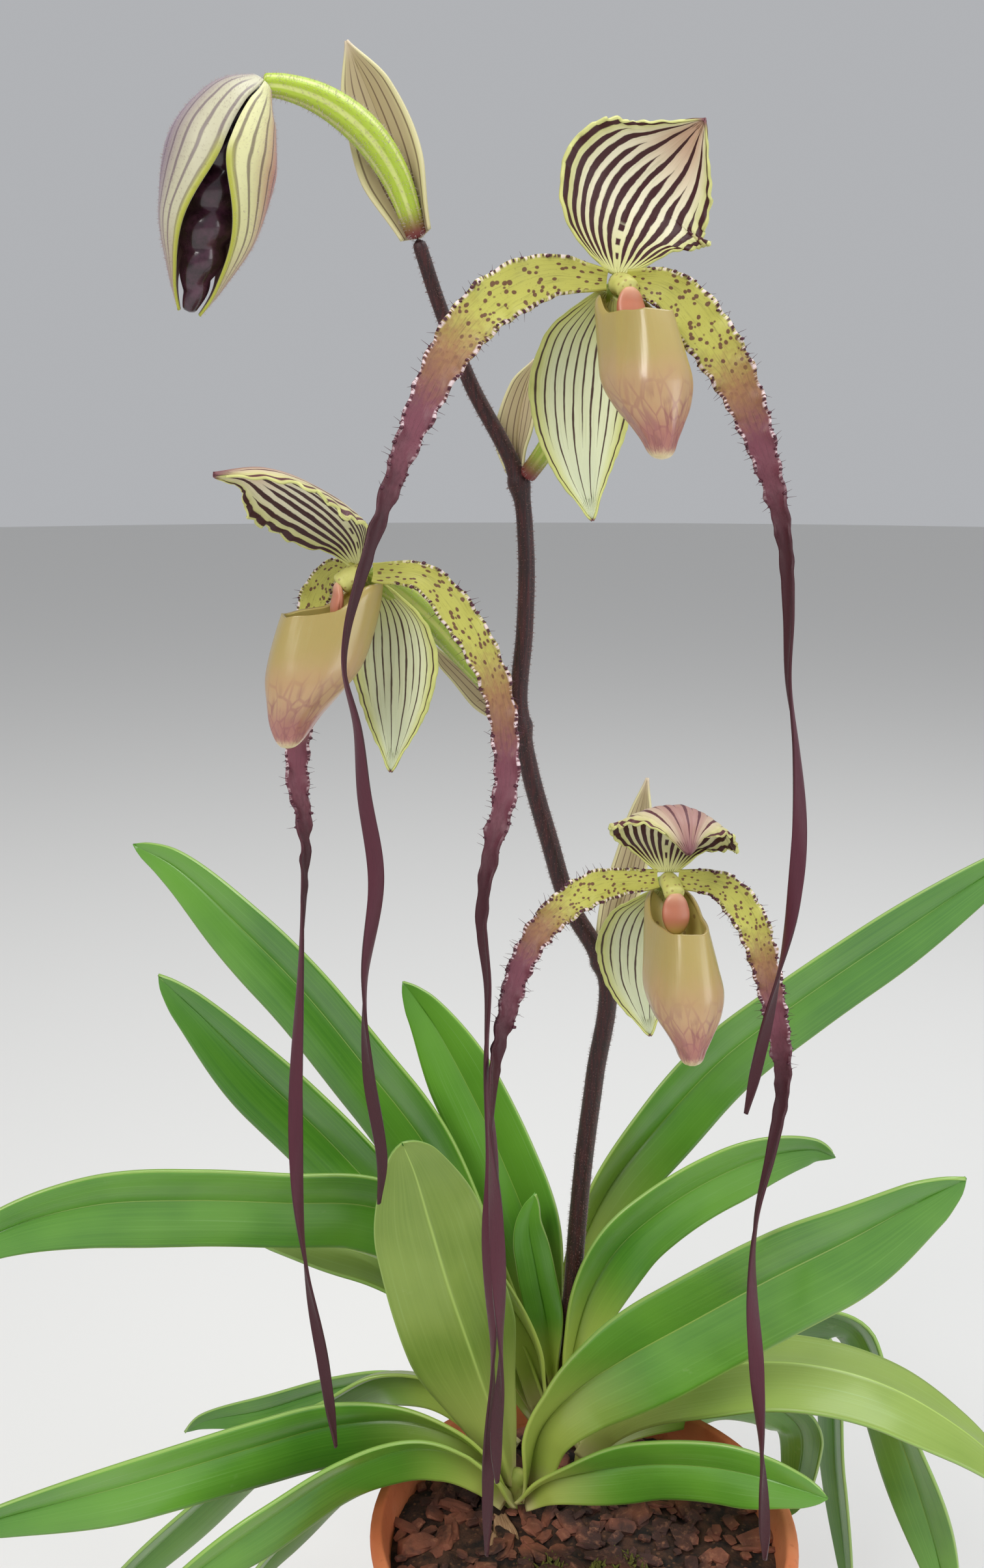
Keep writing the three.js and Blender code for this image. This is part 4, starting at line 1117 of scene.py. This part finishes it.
def ovary(name, flower, replaces):
    thick = profile((0, 2.6), (0.3, 3), (0.6, 4), (0.88, 3.8), (1, 3))
    mesh = rod(
        seen(flower["ovary"]), 80, 36, lambda t, turn: thick(t) * (1 + 0.07 * math.cos(6 * turn))
    )
    return piece(name, mesh, [ovary_skin], [replaces])


def bract_finish(name, ground, line):
    papery = Finish(name, Roughness=0.6, Subsurface_Weight=0.1, Subsurface_Radius=(0.003, 0.003, 0.002))
    across, along = papery.surface_place()
    count = across * 7.0
    gap = abs(count.sum("FRACT", count) - 0.5)
    body = papery.rise(along, 1.0, 0.8)
    mark = papery.rise(gap, 0.12, 0.05) * body
    out = abs(2.0 * across - 1.0)
    colour = papery.blend(papery.rise(out, 0.7, 1.0), ground, tint(216, 208, 160))
    colour = papery.blend(mark * 0.7, colour, line)
    colour = papery.blend(papery.rise(along, 0.9, 1.0), colour, tint(206, 190, 164))
    return papery.paint(colour, 0.6, mark, 0.3, 0.3 * MM)


bract_face = bract_finish("bract_face", tint(186, 170, 134), tint(82, 46, 44))
bract_back = bract_finish("bract_back", tint(178, 160, 128), tint(88, 56, 52))


def bract(name, shape, replaces):
    width = shape["width"]
    outline = profile((0, 0.62 * width), (0.35, width), (0.75, 0.7 * width), (1, 1.6))
    fold = degrees((0, 52), (0.5, 34), (1, 20))
    angle = math.radians(shape["turn"])

    def place_across(t, q, half):
        out = math.hypot(q * half, 0.8) - 0.8
        lift = out * math.sin(fold(t)) + 0.5 * math.sin(9 * t) * q * q
        return math.copysign(out * math.cos(fold(t)), q), lift, 0.0

    mesh = blade(shape["route"], 60, 22, outline, place_across, roll=lambda t: angle)
    return thicken(piece(name, mesh, [bract_face, bract_back], [replaces]), TISSUE)


for number, (name, flower) in enumerate(FLOWERS.items()):
    body = ovary(f"{name}_ovary_skin", flower, f"{name}_ovary")
    down_on(f"{name}_ovary_down", body, 900, 1.0, pale_down, 40 + number)
    column(f"{name}_column", flower, f"{name}_column")
    pouch(f"{name}_pouch_skin", flower, f"{name}_pouch")
    dorsal = flower["dorsal"]
    sepal(
        f"{name}_dorsal", dorsal["route"], dorsal["width"], [dorsal_face, dorsal_back], f"{name}_dorsal_sepal",
        dorsal["cup"], dorsal.get("turn", 0),
    )
    lower = flower["synsepal"]
    sepal(
        f"{name}_synsepal_skin", lower["route"], lower["width"], [synsepal_face, synsepal_back],
        f"{name}_synsepal", 5, lower["turn"], 0.6,
    )
    for side in ("left", "right"):
        shape = flower[f"{side}_petal"]
        made = petal(
            f"{name}_{side}_petal_skin", shape["route"], shape["turn"], flower["petal_width"],
            f"{name}_{side}_petal",
        )
        down_on(f"{name}_{side}_petal_down", made, 1500, 0.8, maroon_down, 60 + number, thin=0.05)
    both = [flower["left_petal"], flower["right_petal"]]
    petal_warts(f"{name}_warts", both, flower["petal_width"], 80 + number)
    bract(f"{name}_bract_skin", flower["bract"], f"{name}_bract")

# The bud
# The topmost flower, still closed: two striped outer sepals covered in pale down meet at the back
# and leave a slot in front, where the dark coiled petals shine. It nods on a lime green ovary.

BUD_OVARY = [(642, 367, 12.8), (608, 272, 9), (562, 204, 5), (500, 156, 1), (440, 134, -3), (402, 130, -5)]
BUD_BRACT = {"route": [(646, 366, 17), (612, 268, 19), (574, 160, 18), (532, 62, 14)], "width": 27, "turn": 10}
BUD_ROUTE = [(400, 131, -6), (372, 168, -9), (345, 229, -12), (323, 328, -14), (302, 428, -13), (291, 480, -11)]
BUD_RADIUS = profile((0, 3.4), (0.16, 11), (0.38, 15.2), (0.62, 13.6), (0.86, 7.6), (1, 3))
BUD_SLOT = profile((0, 0.03), (0.36, 0.04), (0.62, 0.5), (0.85, 0.85), (1, 1.25))
BUD_SEAM = profile((0, 0.06), (0.6, 0.08), (1, 1.25))


def bud_finish(name, ground, flank, line):
    bud = Finish(name, Roughness=0.5, Sheen_Weight=0.3, Sheen_Roughness=0.4)
    across, along = bud.surface_place()
    wander = bud.cloud(1.0, 2.0, where=bud.plane(across * 5.0, along * 4.0))
    count = (across + (wander - 0.5) * 0.05) * 11.0
    gap = abs(count.sum("FRACT", count) - 0.5)
    mark = bud.rise(gap, 0.17, 0.06) * bud.rise(along, 0.02, 0.1)
    colour = bud.blend(bud.rise(across, 0.12, 0.45), ground, flank)
    colour = bud.blend(mark * 0.72, colour, line)
    colour = bud.blend(bud.rise(along, 0.6, 0.95) * 0.55, colour, tint(122, 58, 62))
    colour = bud.blend(bud.rise(across, 0.07, 0.01) * bud.rise(along, 0.3, 0.42), colour, tint(176, 178, 66))
    return bud.paint(colour, 0.5, bud.cloud(300.0) + mark, 0.25, 0.3 * MM)


def bud_sepal(name, side, materials, replaces):
    frames = frames_along(seen(BUD_ROUTE), 70)

    def place(row, t, across):
        _, point, along, face, sideways = frames[row]
        radius = BUD_RADIUS(t)
        start, end = BUD_SLOT(t), math.pi - BUD_SEAM(t)
        turn = start + (end - start) * across
        return point + face * (radius * math.cos(turn)) + sideways * (side * radius * math.sin(turn))

    mesh = skin(36, 70, place)
    if side < 0:
        bmesh.ops.reverse_faces(mesh, faces=mesh.faces)
    return thicken(piece(name, mesh, materials, [replaces]), TISSUE)


bud_lining = bud_finish("bud_lining", tint(186, 188, 110), tint(150, 120, 110), tint(90, 50, 56))
bud_left = bud_sepal(
    "bud_left", -1,
    [bud_finish("bud_left", tint(218, 216, 160), tint(168, 96, 88), tint(74, 40, 50)), bud_lining],
    "bud_left_sepal",
)
bud_right = bud_sepal(
    "bud_right", 1,
    [bud_finish("bud_right", tint(192, 188, 158), tint(132, 108, 126), tint(92, 68, 86)), bud_lining],
    "bud_right_sepal",
)
down_on("bud_down", bud_left, 2600, 1.1, pale_down, 91)
down_on("bud_down_right", bud_right, 2600, 1.1, pale_down, 92)


def coil_finish():
    coil = Finish("coiled_petals", Roughness=0.22, Coat_Weight=0.4)
    tone = coil.cloud(220.0, 3.0)
    return coil.paint(coil.blend(coil.rise(tone, 0.3, 0.8), tint(34, 14, 24), tint(84, 46, 66)), 0.24)


def coil_radius(t, turn):
    knots = abs(math.sin(13 * t * math.pi / 2 + turn * 0.5))
    return 0.56 * BUD_RADIUS(t) * (0.86 + 0.26 * knots)


piece("bud_coils", rod(seen(BUD_ROUTE), 120, 32, coil_radius), [coil_finish()], ["bud_petals"])
bud_thick = profile((0, 2.8), (0.5, 4.6), (1, 2.8))
bud_rod = rod(seen(BUD_OVARY), 90, 36, lambda t, turn: bud_thick(t) * (1 + 0.07 * math.cos(6 * turn)))
bud_ovary = piece(
    "bud_ovary_skin", bud_rod,
    [ovary_finish("bud_ovary", tint(170, 194, 58), tint(222, 228, 150))], ["bud_ovary"],
)
down_on("bud_ovary_down", bud_ovary, 2200, 1.1, pale_down, 93)
bract("bud_bract_skin", BUD_BRACT, "bud_bract")

# Leaves
# Thick glossy straps, folded along a keel, that clasp the growth at their pale base and spread and
# droop. The upper face is dark and waxy and the lower face paler and duller.

LEAF_THICKNESS = 1.2
LEAVES = {
    "leaf_upper_left_long": {
        "route": [
            (846, 2150, 52), (800, 2035, 56), (735, 1900, 61), (651, 1752, 68), (560, 1635, 75),
            (470, 1525, 83), (372, 1425, 92), (270, 1330, 102), (205, 1297, 108),
        ],
        "width": 38, "turn": (30, 42, 40),
    },
    "leaf_upper_left_second": {
        "route": [
            (838, 2155, 48), (790, 2060, 49), (700, 1950, 50), (600, 1850, 50), (500, 1745, 48),
            (400, 1650, 45), (310, 1560, 41), (243, 1498, 38),
        ],
        "width": 36, "turn": (30, 40, 40),
    },
    "leaf_upper_left_inner": {
        "route": [
            (852, 2130, 54), (845, 2040, 58), (818, 1900, 64), (772, 1780, 70), (720, 1670, 76),
            (665, 1570, 82), (620, 1508, 86),
        ],
        "width": 33, "turn": (20, 22, 20),
    },
    "leaf_inner_short": {
        "route": [(850, 2120, 47), (842, 2040, 46), (824, 1950, 46), (813, 1880, 47), (823, 1834, 48)],
        "width": 17, "turn": (10, 10, 0),
    },
    "leaf_far_left": {
        "route": [
            (842, 2150, 46), (820, 2060, 43), (750, 1960, 38), (660, 1885, 32), (560, 1850, 24),
            (440, 1846, 14), (300, 1842, 2), (140, 1850, -12), (0, 1890, -22), (-90, 1950, -27),
        ],
        "width": 40, "turn": (35, 48, 40),
    },
    "leaf_far_left_lower": {
        "route": [
            (832, 2172, 54), (806, 2126, 56), (750, 2056, 57), (672, 1988, 56), (580, 1936, 54),
            (480, 1908, 52), (380, 1892, 50),
        ],
        "width": 30, "turn": (30, 115, 125),
    },
    "leaf_upper_right_long": {
        "route": [
            (858, 2130, 56), (868, 2020, 61), (890, 1920, 66), (935, 1825, 72), (1010, 1730, 79),
            (1110, 1625, 87), (1230, 1535, 96), (1370, 1440, 106), (1512, 1345, 115), (1600, 1290, 120),
        ],
        "width": 35, "turn": (-20, -38, -40),
    },
    "leaf_upper_right_arched": {
        "route": [
            (868, 2150, 46), (882, 2060, 46), (905, 1985, 47), (950, 1915, 49), (1010, 1862, 52),
            (1090, 1812, 56), (1180, 1775, 60), (1250, 1765, 63), (1283, 1776, 64),
        ],
        "width": 33, "turn": (-25, -42, -50),
    },
    "leaf_middle_folded": {
        "route": [
            (786, 2285, 17), (765, 2200, 13), (728, 2090, 5), (690, 1980, -3), (660, 1880, -9),
            (636, 1800, -14), (617, 1755, -17),
        ],
        "width": 46, "turn": (170, 172, 176), "open": 22,
    },
    "leaf_right_broad": {
        "route": [
            (808, 2280, 18), (830, 2195, 14), (885, 2135, 8), (960, 2085, 0), (1060, 2030, -9),
            (1180, 1965, -21), (1310, 1900, -33), (1420, 1840, -43), (1484, 1810, -48),
        ],
        "width": 44, "turn": (-30, -38, -40),
    },
    "leaf_right_low_front": {
        "route": [
            (805, 2296, 14), (840, 2275, 8), (910, 2258, 1), (1000, 2248, -8), (1090, 2252, -17),
            (1180, 2270, -26), (1272, 2300, -33),
        ],
        "width": 30, "turn": (-40, -48, -42),
    },
    "leaf_right_bent": {
        "route": [
            (880, 2215, 44), (930, 2130, 50), (1030, 2050, 55), (1150, 2020, 57), (1250, 2015, 56),
            (1318, 2040, 54), (1362, 2145, 50), (1410, 2285, 48), (1446, 2409, 47), (1458, 2480, 47),
        ],
        "width": 33, "turn": (-60, -70, -20),
    },
    "leaf_right_hanging": {
        "route": [
            (884, 2205, 50), (950, 2110, 60), (1060, 2050, 70), (1170, 2030, 78), (1250, 2050, 83),
            (1277, 2110, 85), (1286, 2260, 85), (1300, 2400, 84), (1305, 2455, 84),
        ],
        "width": 22, "turn": (-50, -60, -50),
    },
    "leaf_right_pale": {
        "route": [
            (884, 2232, 38), (925, 2180, 34), (1010, 2128, 27), (1120, 2098, 18), (1240, 2098, 9),
            (1360, 2130, 1), (1480, 2200, -6), (1580, 2290, -11),
        ],
        "width": 37, "turn": (-120, -138, -125),
    },
    "leaf_right_back_small": {
        "route": [
            (892, 2228, 42), (940, 2196, 47), (1026, 2160, 55), (1110, 2142, 63), (1190, 2160, 70),
            (1232, 2200, 74), (1228, 2270, 74), (1214, 2328, 73),
        ],
        "width": 27, "turn": (-60, -60, -20),
    },
    "leaf_left_low": {
        "route": [
            (782, 2290, 22), (748, 2240, 18), (690, 2200, 12), (610, 2180, 5), (510, 2188, -4),
            (400, 2218, -14), (200, 2278, -33), (0, 2330, -50), (-70, 2352, -56),
        ],
        "width": 34, "turn": (40, 52, 48),
    },
    "leaf_left_arched_back": {
        "route": [
            (776, 2255, 30), (740, 2170, 34), (670, 2118, 38), (585, 2110, 41), (505, 2150, 43),
            (420, 2210, 43), (320, 2300, 42), (205, 2409, 40), (130, 2490, 38),
        ],
        "width": 35, "turn": (45, 70, 60),
    },
    "leaf_left_low_front": {
        "route": [
            (784, 2294, 16), (750, 2258, 11), (695, 2228, 6), (630, 2222, 0), (520, 2262, -12),
            (410, 2334, -24), (305, 2409, -34), (240, 2460, -40),
        ],
        "width": 34, "turn": (50, 66, 60),
    },
    "leaf_left_lower_back": {
        "route": [
            (778, 2284, 27), (730, 2244, 26), (650, 2225, 22), (570, 2245, 17), (490, 2310, 14),
            (420, 2385, 13), (370, 2450, 12),
        ],
        "width": 27, "turn": (60, 80, 70),
    },
    "leaf_left_small_dark": {
        "route": [
            (800, 2215, 54), (720, 2150, 66), (620, 2118, 78), (520, 2130, 87), (400, 2166, 95),
            (310, 2184, 100), (284, 2200, 101),
        ],
        "width": 19, "turn": (50, 50, 30),
    },
}


def leaf_finish(name, deep, light, base, gloss):
    leaf = Finish(name, Roughness=gloss, Coat_Weight=0.3, Coat_Roughness=0.2,
                  Subsurface_Weight=0.06, Subsurface_Radius=(0.002, 0.004, 0.001))
    across, along = leaf.surface_place()
    out = abs(2.0 * across - 1.0)
    broad = leaf.cloud(14.0, 3.0)
    lines = leaf.cloud(1.0, 3.0, 0.6, where=leaf.plane(across * 44.0, along * 2.2))
    colour = leaf.blend(leaf.rise(broad, 0.3, 0.72), deep, light)
    # Paler streaks along the length: partly the leaf's own veins, partly painted sheen.
    colour = leaf.blend(leaf.rise(lines, 0.35, 0.7) * 0.35, colour, light)
    # Painted sheen: whitish streaks along the veins where overhead light would glance off the waxy face.
    painted_sheen = leaf.rise(lines, 0.55, 0.85) * leaf.rise(broad, 0.35, 0.7)
    colour = leaf.blend(painted_sheen * 0.35, colour, tint(160, 196, 140))
    colour = leaf.blend(leaf.rise(out, 0.05, 0.0) * 0.7, colour, tint(176, 204, 104))
    colour = leaf.blend(leaf.rise(out, 0.965, 0.995) * 0.6, colour, tint(168, 196, 104))
    colour = leaf.blend(leaf.rise(along + (broad - 0.5) * 0.2, 0.4, 0.1) * 0.9, colour, base)
    colour = leaf.blend(leaf.rise(along, 0.07, 0.0), colour, tint(196, 192, 132))
    marks = leaf.rise(leaf.cloud(75.0, 5.0, 0.65), 0.66, 0.8)
    colour = leaf.blend(marks * 0.25, colour, tint(182, 196, 150))
    return leaf.paint(colour, gloss + 0.22 * leaf.cloud(70.0, 4.0), lines, 0.22, 0.4 * MM)


leaf_upper = leaf_finish("leaf_upper", tint(62, 122, 30), tint(104, 162, 50), tint(178, 194, 92), 0.24)
leaf_under = leaf_finish("leaf_under", tint(104, 134, 42), tint(140, 164, 72), tint(190, 202, 112), 0.4)


def leaf(name, route, width, turn, open=14):
    outline = profile(
        (0, 0.46 * width), (0.14, 0.62 * width), (0.42, width), (0.72, 0.94 * width), (0.93, 0.5 * width),
        (1, 0.14 * width),
    )
    fold = degrees((0, 62), (0.2, 38), (0.5, open), (1, open))
    roll = degrees((0, turn[0]), (0.4, turn[1]), (1, turn[2]))
    start = sum(map(ord, name)) % 7

    def place_across(t, q, half):
        tip = max(0.0, (t - 0.975) / 0.025)
        half = half * math.sqrt(max(0.01, 1 - tip * tip))
        reach = math.hypot(q * half, 1.1) - 1.1
        arch = 0.05 * half * math.sin(math.pi * min(1.0, abs(q))) * min(1.0, 3 * t)
        wave = 0.5 * math.sin(9 * t + start + 1.2 * q) * abs(q) * min(1.0, 4 * t)
        notch = -1.2 * tip * math.exp(-((q / 0.4) ** 2))
        return math.copysign(reach * math.cos(fold(t)), q), reach * math.sin(fold(t)) + arch + wave, notch

    mesh = blade(route, 110, 24, outline, place_across, roll=roll)
    return thicken(piece(f"{name}_skin", mesh, [leaf_upper, leaf_under], [name]), LEAF_THICKNESS)


for name, shape in LEAVES.items():
    leaf(name, **shape)

# The dry bract
# A papery brown scale from an old growth, left lying against the mix at the front.


def dry_bract():
    papery = Finish("dry_bract", Roughness=0.9)
    across, along = papery.surface_place()
    fibres = papery.cloud(1.0, 4.0, where=papery.plane(across * 40.0, along * 4.0))
    colour = papery.blend(papery.rise(fibres, 0.35, 0.7), tint(128, 92, 62), tint(190, 156, 118))
    return papery.paint(colour, 0.9, fibres, 0.6, 0.5 * MM)


scale_outline = profile((0, 4), (0.5, 10), (1, 3))
scale_mesh = blade(
    [(768, 2328, 12), (776, 2360, 4), (772, 2390, -4), (786, 2425, -10)], 40, 14, scale_outline,
    lambda t, q, half: (q * half, (1 + t) * q * q + 0.5 * math.sin(11 * t + 3 * q), 0.5 * math.sin(5 * q)),
)
papery_skin = dry_bract()
thicken(piece("dry_scale", scale_mesh, [papery_skin], ["dry_bract"]), TISSUE, under=False)

# The setting
# A plain pale floor and studio, soft light from above and in front, and the camera where the
# photograph was taken from.

floor_mesh = bmesh.new()
bmesh.ops.create_circle(floor_mesh, cap_ends=True, segments=96, radius=9.0)
floor_data = bpy.data.meshes.new("floor")
floor_mesh.to_mesh(floor_data)
floor_mesh.free()
pale = Finish("floor", Roughness=0.85)
floor_data.materials.append(pale.paint(tint(226, 225, 222)))
floor = bpy.data.objects.new("floor", floor_data)
bpy.context.scene.collection.objects.link(floor)

world = bpy.data.worlds.new("studio")
world.use_nodes = True
world.node_tree.nodes["Background"].inputs[0].default_value = tint(222, 224, 228)
world.node_tree.nodes["Background"].inputs[1].default_value = 0.6
bpy.context.scene.world = world
bpy.context.scene.view_settings.view_transform = "Standard"


def soft_light(name, place, target, size, power, colour):
    lamp = bpy.data.lights.new(name, "AREA")
    lamp.size = size
    lamp.energy = power
    lamp.color = colour
    made = bpy.data.objects.new(name, lamp)
    made.location = place
    made.rotation_euler = (Vector(target) - Vector(place)).to_track_quat("-Z", "Y").to_euler()
    bpy.context.scene.collection.objects.link(made)


soft_light("key", (-0.9, -1.3, 1.7), (0, 0, 0.3), 0.9, 24, (1.0, 0.98, 0.95))
soft_light("top", (0.5, 0.3, 1.9), (0, 0, 0.25), 1.1, 18, (0.96, 0.98, 1.0))
soft_light("fill", (1.5, -1.0, 0.7), (0, 0, 0.3), 1.0, 10, (1.0, 1.0, 1.0))

lens = bpy.data.cameras.new("eye")
lens.sensor_width = 36
lens.lens = 36 * LENS / 2409
lens.clip_end = 50
eye = bpy.data.objects.new("eye", lens)
eye.location = EYE * MM
eye.rotation_euler = (math.pi / 2 - LOOK_DOWN, 0, 0)
bpy.context.scene.collection.objects.link(eye)
bpy.context.scene.camera = eye
